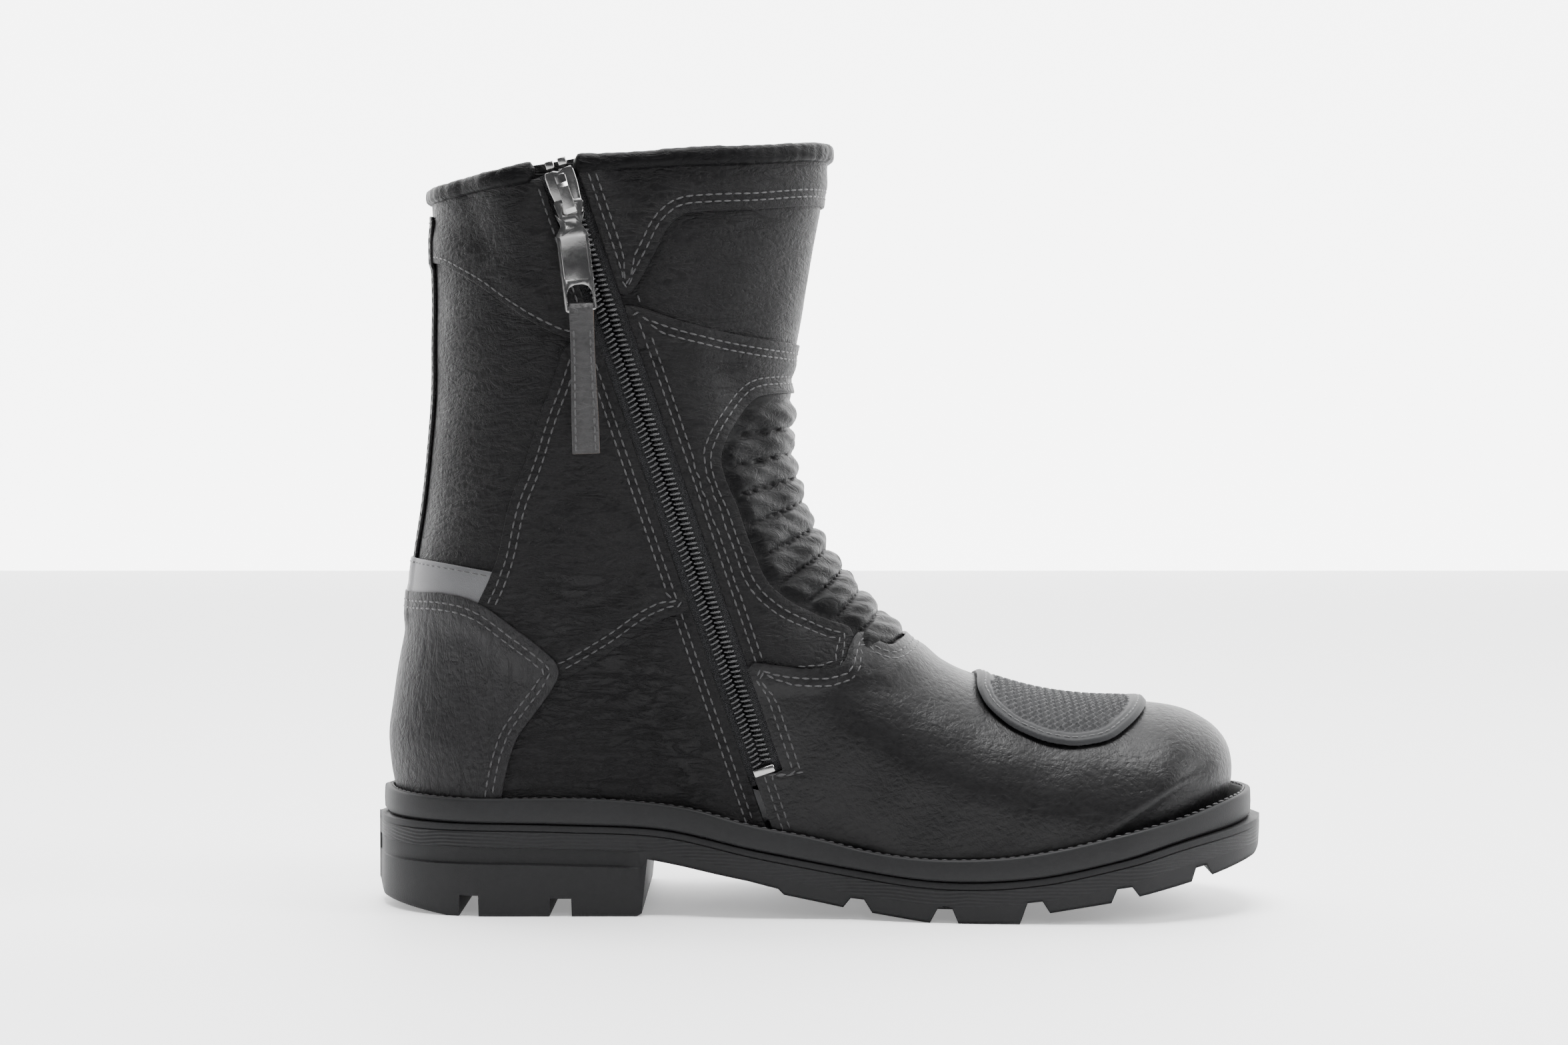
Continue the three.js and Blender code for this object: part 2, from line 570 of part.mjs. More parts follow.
const [[rimRear], [rimFront], [soleRear], [soleFront]] = fit([[-41, 0], [263.5, 0], [-43, 0],
  [267, 0]]);
const rimPlan = planPrism(solePlan(rimLip, rimRear, rimFront));
const outsoleSet = 0.4; // outsole inside the rim
const outsolePlan = planPrism(solePlan(rimLip - outsoleSet, soleRear, soleFront));

// The shank, or its slot in the midsole, along the waist of the foot. extra is the room round it,
// and its top lies the distance under below the floor.
const shankMiddle = 62 * lengthScale;
function shankSlot(extra, under) {
  const from = shankMiddle - shankLength / 2 - extra;
  const steps = Array.from({ length: 9 }, (_, i) => from + (i * (shankLength + 2 * extra)) / 8);
  const depth = 2 * gap + shankThickness + extra;
  const outline = [...steps.map((x) => [x, floorAt(x) - under]),
    ...steps.reverse().map((x) => [x, floorAt(x) - depth])];
  const half = shankWidth / 2 + extra;
  return sidePrism(outline, -half, half);
}

const midsole = rimPlan.intersect(aboveLine(rimBottomAt)).intersect(belowLine(rimTopAt))
  .subtract(bootBody(rimClear).intersect(aboveLine(floorAt)))
  .subtract(shankSlot(gap, -weld));
addPiece("midsole", midsole, "rubber");
addPiece("shank", shankSlot(0, 2 * gap), "steel");

// Outsole in side view: heel with two grooves, hollow waist and six lugs.
const heelFoot = [[-43, 6], [-40, 3.6], [-15, 0], [-10.6, 0], [-10.6, 7], [-4, 7], [-4, 0],
  [20.3, 0], [20.3, 6], [27.7, 6], [27.7, 0], [50, 0], [52, 1.5], [53.5, 19.6]];
const waistFoot = [[66, 17.3], [77, 15.1], [88, 13], [98, 10.4], [100, 8.4], [120, 4.2]];
const toeFoot = [[122.5, 7.4], [127, 7], [129.8, 2.6], [149, 0], [151.5, 4.8], [156.5, 4.8],
  [158.5, 0], [179, 0], [181.5, 7.2], [186.5, 7.8], [189, 3.9], [209.5, 7.3], [211.5, 12],
  [216.5, 12.6], [219, 9.4], [237.5, 13.2], [239, 17.8], [243, 18.6], [245, 15], [262, 19.4],
  [267, 24]];
const treadLine = fit([...heelFoot, ...waistFoot, ...toeFoot]);
const soleTop = alongFloor.filter((x) => x > soleRear && x < soleFront).reverse();
const outsoleSide = [...treadLine, [soleFront, rimBottomAt(soleFront) - gap],
  ...soleTop.map((x) => [x, rimBottomAt(x) - gap]), [soleRear, rimBottomAt(soleRear) - gap]];
addPiece("outsole", sidePrism(outsoleSide).intersect(outsolePlan), "rubber");

const board = bootBody(0).intersect(aboveLine((x) => floorAt(x) + gap))
  .intersect(belowLine(boardTop));
addPiece("insole_board", board, "board");
const footbedEnd = linePoint(frontLine, -1, 24, 0)[0] - 12;
const footbed = bootBody(liningInner - footbedClear)
  .intersect(aboveLine((x) => boardTop(x) + gap))
  .intersect(belowLine((x) => boardTop(x) + gap + footbedThickness))
  .intersect(box(farBack, footbedEnd, -farSide, farSide, farDown, farUp));
addPiece("footbed", footbed, "fabric");

// ---------------------------------------------------------------- zip
const stopLength = 2.6;
const chainTop = sliderLength / 2 + 1;
const chainEnd = -(zipLength - stopLength - gap);
const stopProud = 0.4; // stops over the coils
const coilBack = tapeFace - gap;
// A bar along one half of the zip, x0 to x1 from the centre line.
const zipBar = (side, x0, x1, y0, y1, z0, z1) =>
  box(Math.min(side * x0, side * x1), Math.max(side * x0, side * x1), y0, y1, z0, z1);
const tape = (side) => zipBar(side, coilInner, zipTapeReach, tapeFace, tapeFace + zipTape,
  -zipLength - tapePast, chainTop - 1);
const coil = (side) => zipBar(side, coilInner, coilOuter, -coilProud, coilBack, chainEnd,
  chainTop - gap);
const topStop = (side) => zipBar(side, coilInner, coilOuter, -coilProud - stopProud, coilBack,
  chainTop, chainTop + stopLength);
const bottomStop = box(-coilOuter, coilOuter, -coilProud - stopProud, coilBack,
  chainEnd - gap - stopLength, chainEnd - gap);

const sliderFace = -coilProud - gap; // inner face of the slider's front plate
const sliderTop = sliderFace - plate;
function slider() {
  const half = sliderWidth / 2;
  const end = sliderLength / 2;
  const wall = half - sliderWall;
  const under = tapeFace + zipTape + gap;
  const web = coilInner - gap;
  return box(-half, half, sliderTop, sliderFace, -end, end)
    .add(box(-half, -wall, sliderFace - weld, coilBack - gap, -end, end))
    .add(box(wall, half, sliderFace - weld, coilBack - gap, -end, end))
    .add(box(-half, half, under, under + plate, -end, end))
    .add(box(-web, web, sliderFace - weld, under + weld, -1, end));
}

// A solid with an outline of [z, y] points and an eye through it, from -half to +half in x.
function archAlong(outline, eye, half) {
  const turned = ([z, y]) => [z, -y];
  const ring = sidePrism(outline.map(turned), -half, half)
    .subtract(sidePrism(eye.map(turned), -half - 1, half + 1));
  return ring.transform(new THREE.Matrix4().set(
    0, -1, 0, 0,
    0, 0, -1, 0,
    1, 0, 0, 0,
    0, 0, 0, 1).elements);
}

// The bridge is a small arch on the slider, and the tab's ring passes through it.
const ringBar = tabThickness / 2; // half of the ring's bar
const ringPlay = 0.5; // ring to the top of the bridge
const bridgeWall = 1.2;
const bridgeFoot = 0.7;
const bridgeHalf = 1.8;
const pivotZ = -3.4;
const pivotY = sliderTop - gap - bridgeFoot - gap - ringBar;
function bridge() {
  const base = sliderTop - gap;
  const eyeTop = pivotY - ringBar - ringPlay;
  const top = eyeTop - bridgeWall;
  const shoulder = top + 1.3;
  const outline = [[3.2, base], [3.2, shoulder], [1.6, top], [-5.8, top], [-7.4, shoulder],
    [-7.4, base]];
  const eyeHalf = ringBar + 1.1;
  const eye = [[pivotZ + eyeHalf, base - bridgeFoot], [pivotZ + eyeHalf, eyeTop],
    [pivotZ - eyeHalf, eyeTop], [pivotZ - eyeHalf, base - bridgeFoot]];
  return archAlong(outline, eye, bridgeHalf);
}

// The tab hangs from its pivot: z up, plate in the x-z plane.
const ringHalf = 5;
const ringEnd = -3.6; // height where the ring narrows to the neck
const neckHalf = 3.5;
const neckTop = -5.6;
const neckEnd = -8;
const plateTop = -11;
const barHalf = 0.9; // half height of the bar that carries the strap
const windowTop = 9;
const windowCorner = 2;
const tabFoot = ringBar - tabLength;
function pullTab() {
  const half = tabWidth / 2;
  const rightSide = [[ringHalf, ringBar], [ringHalf, ringEnd], [neckHalf, neckTop],
    [neckHalf, neckEnd], [half, plateTop], [half, tabFoot]];
  const outline = [...rightSide, ...rightSide.map(([x, z]) => [-x, z]).reverse()];
  const holeHalf = bridgeHalf + 0.8;
  const holeEnd = neckTop + 1;
  const ringHole = [[-holeHalf, -ringBar], [holeHalf, -ringBar], [holeHalf, holeEnd],
    [-holeHalf, holeEnd]];
  const side = tabWidth / 2 - tabFrame;
  const [sill, head] = [tabFoot + 2 * barHalf, tabFoot + windowTop];
  const window = [[-side, sill], [side, sill], [side, head - windowCorner],
    [side - windowCorner, head], [windowCorner - side, head], [-side, head - windowCorner]];
  return sidePrism(outline, -tabThickness / 2, tabThickness / 2)
    .subtract(sidePrism(ringHole))
    .subtract(sidePrism(window));
}

// The strap is a loop of leather round the tab's lower bar, with its two ends stitched together.
const strapPlay = 0.12; // strap to the corners of the bar, which turn inside it
const strapSkin = 0.9; // one layer round the bar
function pullStrap() {
  const eyeY = Math.hypot(barHalf, tabThickness / 2) + strapPlay;
  const eyeZ = eyeY + gap;
  const loopY = eyeY + strapSkin;
  const loopZ = eyeZ + strapSkin;
  const half = strapThickness / 2;
  const front = [[loopZ - strapSkin, loopY], [loopZ, loopY - strapSkin]];
  const back = [[loopZ - strapLength, half], [-8, half], [-3, loopY]];
  const flip = ([z, y]) => [z, -y];
  const body = [...front, ...front.map(flip).reverse(), ...back.map(flip).reverse(), ...back];
  const eye = [[eyeZ, eyeY], [-eyeZ, eyeY], [-eyeZ, -eyeY], [eyeZ, -eyeY]];
  return archAlong(body, eye, strapWidth / 2);
}

// ---------------------------------------------------------------- assembly
const boot = new THREE.Group();
function mesh(name, geometry, finish) {
  const made = new THREE.Mesh(geometry, new THREE.MeshStandardMaterial(finishes[finish]));
  made.name = name;
  return made;
}
for (const [name, { geometry, finish }] of pieces) boot.add(mesh(name, geometry, finish));

const zip = new THREE.Group();
zip.applyMatrix4(zipMatrix);
const zipParts = [["zip_tape_front", tape(1), "fabric"], ["zip_tape_rear", tape(-1), "fabric"],
  ["zip_coil_front", coil(1), "coil"], ["zip_coil_rear", coil(-1), "coil"],
  ["zip_top_stop_front", topStop(1), "metal"], ["zip_top_stop_rear", topStop(-1), "metal"],
  ["zip_bottom_stop", bottomStop, "metal"], ["zip_slider", slider(), "metal"],
  ["slider_bridge", bridge(), "metal"]];
for (const [name, solid, finish] of zipParts) zip.add(mesh(name, solids.geometry(solid), finish));
boot.add(zip);

// The tab hangs nearer to plumb than the zip does, and the strap nearer still. Both stand a
// little out from the boot, so that they pass the sole's rim.
const zipLean = Math.atan2(-zipUp.x, zipUp.z);
const tabLean = zipLean - THREE.MathUtils.degToRad(11.77);
const strapLean = tabLean - THREE.MathUtils.degToRad(5);
const standOut = THREE.MathUtils.degToRad(3);
const hang = (lean) => new THREE.Euler(-standOut, -lean, 0, "YXZ");

const tabMesh = mesh("pull_tab", solids.geometry(pullTab()), "metal");
tabMesh.position.set(0, pivotY, pivotZ).applyMatrix4(zipMatrix);
tabMesh.rotation.copy(hang(tabLean));
boot.add(tabMesh);

const strapMesh = mesh("pull_strap", solids.geometry(pullStrap()), "leather");
strapMesh.position.set(0, 0, tabFoot + barHalf).applyEuler(hang(tabLean)).add(tabMesh.position);
strapMesh.rotation.copy(hang(strapLean));
boot.add(strapMesh);

export default boot;
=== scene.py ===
# %% [markdown]
# # A left touring boot with a straight side zip
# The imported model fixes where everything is. This lesson dresses it: leather panels with real
# laps and stitches, a ribbed padded instep, a rolled collar, a coil zip with its puller, a moulded
# toe guard and a cleated sole. Lengths are worked out in millimetres and turned to metres when a
# mesh is finished.

# %% Load the frame
import json
import math

import bmesh
import bpy
import numpy as np
from mathutils import Matrix, Vector


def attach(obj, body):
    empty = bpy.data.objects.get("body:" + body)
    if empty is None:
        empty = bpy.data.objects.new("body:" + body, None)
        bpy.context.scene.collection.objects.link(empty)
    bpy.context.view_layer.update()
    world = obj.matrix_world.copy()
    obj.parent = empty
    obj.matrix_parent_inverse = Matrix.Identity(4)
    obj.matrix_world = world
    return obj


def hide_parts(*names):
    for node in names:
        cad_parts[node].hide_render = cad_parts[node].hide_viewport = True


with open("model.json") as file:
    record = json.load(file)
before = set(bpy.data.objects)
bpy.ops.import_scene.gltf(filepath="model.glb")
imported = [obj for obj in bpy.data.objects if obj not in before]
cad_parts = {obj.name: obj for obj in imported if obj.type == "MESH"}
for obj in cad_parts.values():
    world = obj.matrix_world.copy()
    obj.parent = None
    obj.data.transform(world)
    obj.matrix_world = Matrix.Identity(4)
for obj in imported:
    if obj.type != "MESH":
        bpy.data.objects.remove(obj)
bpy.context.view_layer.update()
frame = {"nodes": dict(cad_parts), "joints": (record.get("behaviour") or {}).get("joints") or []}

MM = 0.001

# %% [markdown]
# ## The shape under the leather
# A boot is drawn from the side first: a rear line, a front line, the sole's edges. A half width
# at every point of that view gives the two walls. The upper could be sculpted, but then panels,
# lining and stitches would each need fitting to it. One function that every layer reads keeps
# them all parallel, so this is how the shape is held here.

# %% Curves through points
def profile(points):
    """A smooth y(x) through points, level beyond its ends."""
    at, value = np.array(points, float).T
    before = np.r_[0, np.arange(len(at) - 1)]
    after = np.r_[np.arange(1, len(at)), len(at) - 1]
    slope = (value[after] - value[before]) / (at[after] - at[before])

    def read(x):
        x = np.clip(x, at[0], at[-1])
        i = np.clip(np.searchsorted(at, x) - 1, 0, len(at) - 2)
        h = at[i + 1] - at[i]
        t = (x - at[i]) / h
        rise = (2 * t - 3) * t * t * (value[i] - value[i + 1]) + value[i]
        return rise + t * (t - 1) * h * ((t - 1) * slope[i] + t * slope[i + 1])

    return read


def spline(points, steps=8):
    """A Catmull-Rom line through points, as rows of coordinates."""
    p = np.array(points, float)
    p = np.vstack([2 * p[0] - p[1], p, 2 * p[-1] - p[-2]])
    rows = []
    for a, b, c, d in zip(p, p[1:], p[2:], p[3:]):
        t = np.arange(steps)[:, None] / steps
        rows.append(b + 0.5 * (t * (c - a) + t**2 * (2 * a - 5 * b + 4 * c - d)
                               + t**3 * (3 * b - a - 3 * c + d)))
    return np.vstack([*rows, p[-2:-1]])


def smooth(value, start, end):
    """An S-shaped rise from 0 to 1 between two values."""
    t = np.clip((value - start) / (end - start), 0, 1)
    return t * t * (3 - 2 * t)


def quarter(t):
    """Height of a quarter circle over t from 0 to 1."""
    return np.sqrt(np.maximum(0, 1 - (1 - np.clip(t, 0, 1)) ** 2))


# %% The lines of the boot in side view
rim_bottom = profile([[-43, 31.6], [-10, 32], [25, 31.4], [60, 29.6], [95, 22.5], [125, 17],
                      [155, 14], [185, 15.6], [215, 21.9], [238, 27.6], [262, 31.5]])
rim_top = profile([[-43, 41], [-10, 40.3], [35, 40.2], [67, 37.3], [88, 32.1], [110, 27.7],
                   [127, 23.6], [144, 21.6], [160, 21.4], [177, 22.5], [193, 25.2], [215, 30.4],
                   [234, 34.6], [252, 39.4], [262, 41]])
REAR = spline([[-24, 275, 58], [-23.7, 250, 58], [-22.6, 222, 57], [-22.6, 195, 56],
               [-23.4, 166, 54], [-26, 143, 50], [-29, 120, 46], [-33, 97, 42], [-37.2, 73, 38],
               [-39.2, 60, 36], [-38.4, 50, 36], [-36.6, 40, 36], [-34.5, 28, 36]])
FRONT = spline([[118.5, 275, 62], [115.8, 261, 62], [112.5, 242, 60], [109.5, 225, 58],
                [106.5, 207.6, 57], [103.5, 190, 56], [102, 172, 55], [102, 160, 54],
                [104, 148, 52], [108.5, 135, 50], [115, 123.5, 48], [123, 112.5, 46],
                [132, 102.5, 44], [141, 94.5, 42], [150, 88, 40], [162, 81.3, 40],
                [175, 76.5, 40], [190, 72.6, 40], [205, 70.6, 40], [222, 70, 40],
                [236, 68.6, 42], [246, 65, 46], [252.5, 60, 50], [256, 54, 52],
                [256.8, 46, 52], [255, 38, 52], [251, 26, 52]])
foot_half = profile([[-45, 36], [-20, 36.5], [20, 37], [70, 38.5], [110, 43], [150, 48.5],
                     [185, 49.5], [220, 48], [260, 46]])
shaft_half = profile([[80, 44], [110, 44.6], [130, 45.2], [160, 46.2], [195, 47.4],
                      [230, 48.4], [270, 49.4]])
middle_line = profile([[-45, 0], [0, 0], [60, 1.5], [110, 1], [160, -1.5], [210, -4], [260, -7]])
FLOOR_RISE = 3  # floor of the boot over the bottom of the rim
UNDER_FLOOR = 3  # depth in which the walls close under the floor


def floor_at(x):
    """Height of the floor inside the boot."""
    return rim_bottom(x) + FLOOR_RISE


# %% The zip's own frame
ZIP_TOP = np.array([27.2, -48.8, 244.7])
ZIP_END = np.array([93.7, -42.5, 49.0])
zip_up = (ZIP_TOP - ZIP_END) / np.linalg.norm(ZIP_TOP - ZIP_END)
zip_across = np.cross([0, 1, 0], zip_up)
zip_across /= np.linalg.norm(zip_across)
zip_in = np.cross(zip_up, zip_across)
ZIP_LENGTH = float(np.linalg.norm(ZIP_TOP - ZIP_END))
ZIP_FLAT, ZIP_FADE, ZIP_SLOT_HALF = 13, 21, 6.0
ZIP_FRAME = Matrix([[*row, p] for row, p in zip(np.array([zip_across, zip_in, zip_up]).T, ZIP_TOP)]
                   + [[0, 0, 0, 1]])
print("zip length", round(ZIP_LENGTH, 1), "mm")


def from_zip(x, z):
    """Distance of a side-view point from the zip's line, towards the toe."""
    return (x - ZIP_TOP[0]) * zip_across[0] + (z - ZIP_TOP[2]) * zip_across[2]


# %% The wall of the boot
def depth_behind(line, side, x, z):
    """Depth of side-view points behind a line, and the radius of the edge there."""
    a, b = line[:-1, :2], line[1:, :2]
    d = b - a
    off = np.stack([x, z], -1)[:, None] - a
    t = np.clip((off * d).sum(-1) / (d * d).sum(-1), 0, 1)
    off = off - t[..., None] * d
    distance = np.hypot(off[..., 0], off[..., 1])
    best = distance.argmin(1)
    row = np.arange(len(best))
    off, t = off[row, best], t[row, best]
    inside = np.sign(side * (d[best, 0] * off[:, 1] - d[best, 1] * off[:, 0]))
    round_at = line[best, 2] + t * (line[best + 1, 2] - line[best, 2])
    return inside * distance[row, best], round_at


def wall_y(x, z, side):
    """Y of the leather's outer face. side is -1 on the zip's side and 1 on the other."""
    x, z = np.asarray(x, float).ravel(), np.asarray(z, float).ravel()
    side = np.broadcast_to(side, x.shape)
    rear, rear_round = depth_behind(REAR, 1, x, z)
    front, front_round = depth_behind(FRONT, -1, x, z)
    closing = quarter((z - floor_at(x)) / UNDER_FLOOR + 1)
    rounding = quarter(rear / rear_round) * quarter(front / front_round) * closing
    up = smooth(z, 65, 120)
    half = foot_half(x) * (1 - up) + shaft_half(z) * up
    y = middle_line(x) * (1 - smooth(z, 50, 110)) + side * half * rounding
    flat = (1 - smooth(abs(from_zip(x, z)), ZIP_FLAT, ZIP_FLAT + ZIP_FADE)) * (side < 0)
    level = (x - ZIP_TOP[0]) * zip_in[0] + (z - ZIP_TOP[2]) * zip_in[2]
    flat_y = ZIP_TOP[1] - level / zip_in[1]
    return y + (flat_y * closing - y) * flat


# %% Stations from the collar to the toe
# A station joins a point of the rear line, or of the floor, to a point of the front line.
REAR_COUNT = [0, 1, 2, 3, 4, 4.6, 5.4, 6, 6.6, 7.3, 8, 9, 10, 11]
FLOOR_X = [-34.5, -22, 0, 25, 50, 74, 95, 115, 135, 155, 176, 197, 217, 231, 242, 248, 252]
FRONT_COUNT = [0, 1.2, 3, 5, 6.6, 7.8, 8.8, 9.5, 10.2, 11, 12, 12.5, 13, 13.4, 13.8, 14.2, 14.6,
               15, 15.4, 15.8, 16.2, 16.8, 17.4, 18.2, 19.1, 19.9, 20.7, 21.6, 23, 25.3]
LAST = len(FRONT_COUNT) - 1
WALLS = len(REAR_COUNT) - 1


def on_line(line, count):
    at = np.arange(len(line)) / 8
    return np.stack([np.interp(count, at, line[:, 0]), np.interp(count, at, line[:, 1])], -1)


def station(s):
    """Rear and front ends of stations, as side-view points."""
    s = np.asarray(s, float)
    rear = on_line(REAR, np.interp(s, range(WALLS + 1), REAR_COUNT))
    x = np.interp(s, range(WALLS, LAST + 1), FLOOR_X)
    floor = np.stack([x, floor_at(x) - UNDER_FLOOR], -1)
    rear = np.where(s[..., None] <= WALLS, rear, floor)
    return rear, on_line(FRONT, np.interp(s, range(LAST + 1), FRONT_COUNT))


def skin_at(s, turn):
    """Exact points of the leather's outer face. turn runs round the boot: 0 at the back, pi at
    the front, and the zip's side between them."""
    rear, front = station(s)
    share = (1 - np.cos(turn)) / 2
    x = rear[..., 0] + (front[..., 0] - rear[..., 0]) * share
    z = rear[..., 1] + (front[..., 1] - rear[..., 1]) * share
    side = np.where(np.sin(turn) >= 0, -1, 1)
    y = wall_y(x, z, side.ravel()).reshape(x.shape)
    return np.stack([x, y, z], -1)


# %% [markdown]
# The wall costs many sums for each point, and every layer asks for it again. So it is worked out
# once on a fine net of stations and turns, and all later steps read between the net's points.

# %% The skin's net
NET_S, NET_TURN = 16, 360  # net lines per station and round the boot
net_s, net_turn = np.meshgrid(np.linspace(0, LAST, LAST * NET_S + 1),
                              np.linspace(0, 2 * np.pi, NET_TURN + 1), indexing="ij")
NET = np.concatenate([skin_at(net_s[i:i + 30], net_turn[i:i + 30])
                      for i in range(0, len(net_s), 30)])


def rounded_toe(net, first):
    """Lifts the creases of the toe, from a station on, to one smooth cap."""
    rows = slice(first * NET_S, None)
    middle = middle_line(net[rows, :, 0])
    start = net[rows, :, 1] - middle
    side = np.where(np.sin(net_turn[rows]) >= 0, -1, 1)
    y = start.copy()
    for _ in range(3):
        y = side * np.maximum(side * y, side * start)
        for _ in range(14):
            ring = y[:, :-1]
            ring = 0.5 * ring + 0.25 * (np.roll(ring, 1, 1) + np.roll(ring, -1, 1))
            padded = np.concatenate([ring[:1], ring, ring[-1:]])
            ring = 0.5 * ring + 0.25 * (padded[:-2] + padded[2:])
            y = np.concatenate([ring, ring[:, :1]], 1)
    share = smooth(net_s[rows], first, first + 1.5)
    net[rows, :, 1] = middle + start + (y - start) * share


rounded_toe(NET, 22)
down = np.gradient(NET, axis=0)
along = np.gradient(np.concatenate([NET[:, -2:-1], NET, NET[:, 1:2]], 1), axis=1)[:, 1:-1]
NET_NORMAL = np.cross(down, along)
NET_NORMAL /= np.maximum(np.linalg.norm(NET_NORMAL, axis=-1, keepdims=True), 1e-9)
print("net of", NET.shape[0] * NET.shape[1], "points")


# %% Reading the net
def read_net(net, s, turn):
    """Values of a net between its points."""
    u = np.clip(np.asarray(s, float) * NET_S, 0, net.shape[0] - 1.001)
    v = (np.asarray(turn, float) % (2 * np.pi)) / (2 * np.pi) * NET_TURN
    i, j = u.astype(int), np.minimum(v.astype(int), NET_TURN - 1)
    fu, fv = (u - i)[..., None], (v - j)[..., None]
    near = net[i, j] * (1 - fv) + net[i, j + 1] * fv
    far = net[i + 1, j] * (1 - fv) + net[i + 1, j + 1] * fv
    return near * (1 - fu) + far * fu


def skin_points(s, turn):
    """Points of the skin, and the side of the boot: -1 on the zip's side."""
    s, turn = np.broadcast_arrays(s, turn)
    return read_net(NET, s, turn), np.where(np.sin(turn) >= 0, -1, 1)


pace = np.linspace(0, LAST, LAST * 12 + 1)
ends = station(pace)
lengths = sum(np.linalg.norm(np.diff(end, axis=0), axis=1) for end in ends) / 2
station_length = np.r_[0, np.cumsum(lengths)]
print("length over the stations", round(float(station_length[-1])), "mm")

# %% [markdown]
# ## Leather panels
# Real panels are cut flat and stitched over each other, so each seam shows one raised edge. A
# panel could be cut from a solid with booleans, which leaves ragged faces along curved edges.
# Here each panel starts as a grid laid on the skin. Grid corners near the cut line slide onto it,
# faces outside are deleted, and the sheet gets its thickness and a rounded edge.

# %% Outlines in side view, an earlier panel lying over a later one
def zip_point(z, off=0.0):
    return [ZIP_TOP[0] + (z - ZIP_TOP[2]) * zip_up[0] / zip_up[2] + off, z]


PIPING_REAR = [[-60, 242.5], [-21, 244], [-3, 246], [18, 248.4], [31, 249.6]]
PIPING_FRONT = [[20, 249.8], [32, 250.8], [49, 252.7], [71, 254], [92, 255.3], [118, 259],
                [160, 260.4]]
COLLAR_REAR = [[-60, 247.6], [-21, 249], [-6, 251], [7, 253], [20, 256], [31, 257.5]]
COLLAR_FRONT = [[20, 257.2], [31, 257.5], [49, 258], [71, 260], [92, 261.3], [114, 264.4],
                [122, 266], [160, 267]]
FLEX_EDGE = [[160, 179], [104, 178.6], [91, 177.6], [86, 173], [80.5, 164], [78, 156],
             [80.2, 147.8], [84, 139.3], [87.5, 128.8], [92.8, 114.7], [102, 106.3],
             [114, 100.6], [124, 97]]
ANKLE_REAR = [[27, 196], [23, 183], [18, 170], [13, 154], [8, 142], [6, 134], [4, 124],
              [1, 115], [-2, 109], [-6, 100]]
ANKLE_BOTTOM = [[8, 84], [24, 80.5], [31, 84], [44, 92], [55, 100], [63, 103.3]]
QUARTER_TAIL = [[105, 48], [109, 45], [114, 36], [121, 28], [126, 22], [131, 12], [131, 0]]
VAMP_TOP = [[92, 87], [103, 85], [114, 84], [120, 85], [121.5, 91], [124, 95.5], [128, 95.5],
            [133, 91.6], [136.5, 90.4], [140, 92], [145, 95], [150, 101]]
BAND_BOTTOM = [[48, 210.5], [51, 214], [57, 225], [61, 233.5], [66, 238], [77, 239],
               [92, 240], [115, 244], [160, 247]]
YOKE_TOP = [[48, 207.5], [54, 206], [65, 202], [77, 199], [92, 196.4], [107, 195], [160, 193]]
REAR_TOP_SEAM = [[-60, 231], [-18, 223], [-10, 218.5], [-3, 214.5], [7, 207.5], [16, 201.5],
                 [27, 196]]
HEEL_EDGE = [[-60, 108.5], [-30, 109], [-18, 110], [-8, 109], [0, 106], [10, 98], [19, 91],
             [23, 87], [24, 83], [21, 77], [15, 69], [9, 61], [6, 52], [4, 42], [3, 30], [3, 0],
             [-60, 0]]
GUARD_EDGE = [[166, 90], [168, 81], [166, 76], [169, 70], [177, 63.5], [188, 59], [199, 57.3],
              [211, 59], [221, 65], [229, 71.3], [232, 90]]
TOP = 300
OUTLINES = {
    "heel_cover": HEEL_EDGE,
    "ankle": [*ANKLE_REAR, *ANKLE_BOTTOM, zip_point(106, 4), zip_point(196, 4)],
    "strip": [[-60, 121], [-27, 121], [-15, 120], [-4, 118.4], [12, 116], [12, 104], [-60, 104]],
    "stay": [[-90, 55], [0, 55], [0, 243], [-90, 243]],
    "rear_top": [*REAR_TOP_SEAM, zip_point(195, 4), zip_point(TOP, 4), [-60, TOP]],
    "back": [[-60, 235], [35, 235], [35, 95], [-60, 95]],
    "quarter": [zip_point(112, 4), zip_point(48, 4), *QUARTER_TAIL, [-20, 0], [-20, 112]],
    "vamp": [zip_point(88, -4), *VAMP_TOP, [320, 101], [320, 0], zip_point(0, -4)],
    "band": [zip_point(210, -4), *BAND_BOTTOM, [200, TOP], zip_point(TOP, -4)],
    "yoke": [zip_point(206, -4), *YOKE_TOP, *FLEX_EDGE, [122, 80], zip_point(80, -4)],
    "flex": [*FLEX_EDGE, [124, 80], [180, 80]],
    "shin": [zip_point(262, -4), [200, 262], [200, 188], zip_point(188, -4)],
}
ORDER = list(OUTLINES)
BEHIND_ZIP = {"ankle", "rear_top", "quarter"}
BEFORE_ZIP = {"band", "yoke", "shin"}


# %% How far a point is from a cut line
def rounded(outline):
    """The outline with its corners cut round, as an edge that is cut in leather."""
    p = np.array(outline, float)
    for _ in range(2):
        q = np.roll(p, -1, 0)
        p = np.stack([0.8 * p + 0.2 * q, 0.2 * p + 0.8 * q], 1).reshape(-1, 2)
    return p


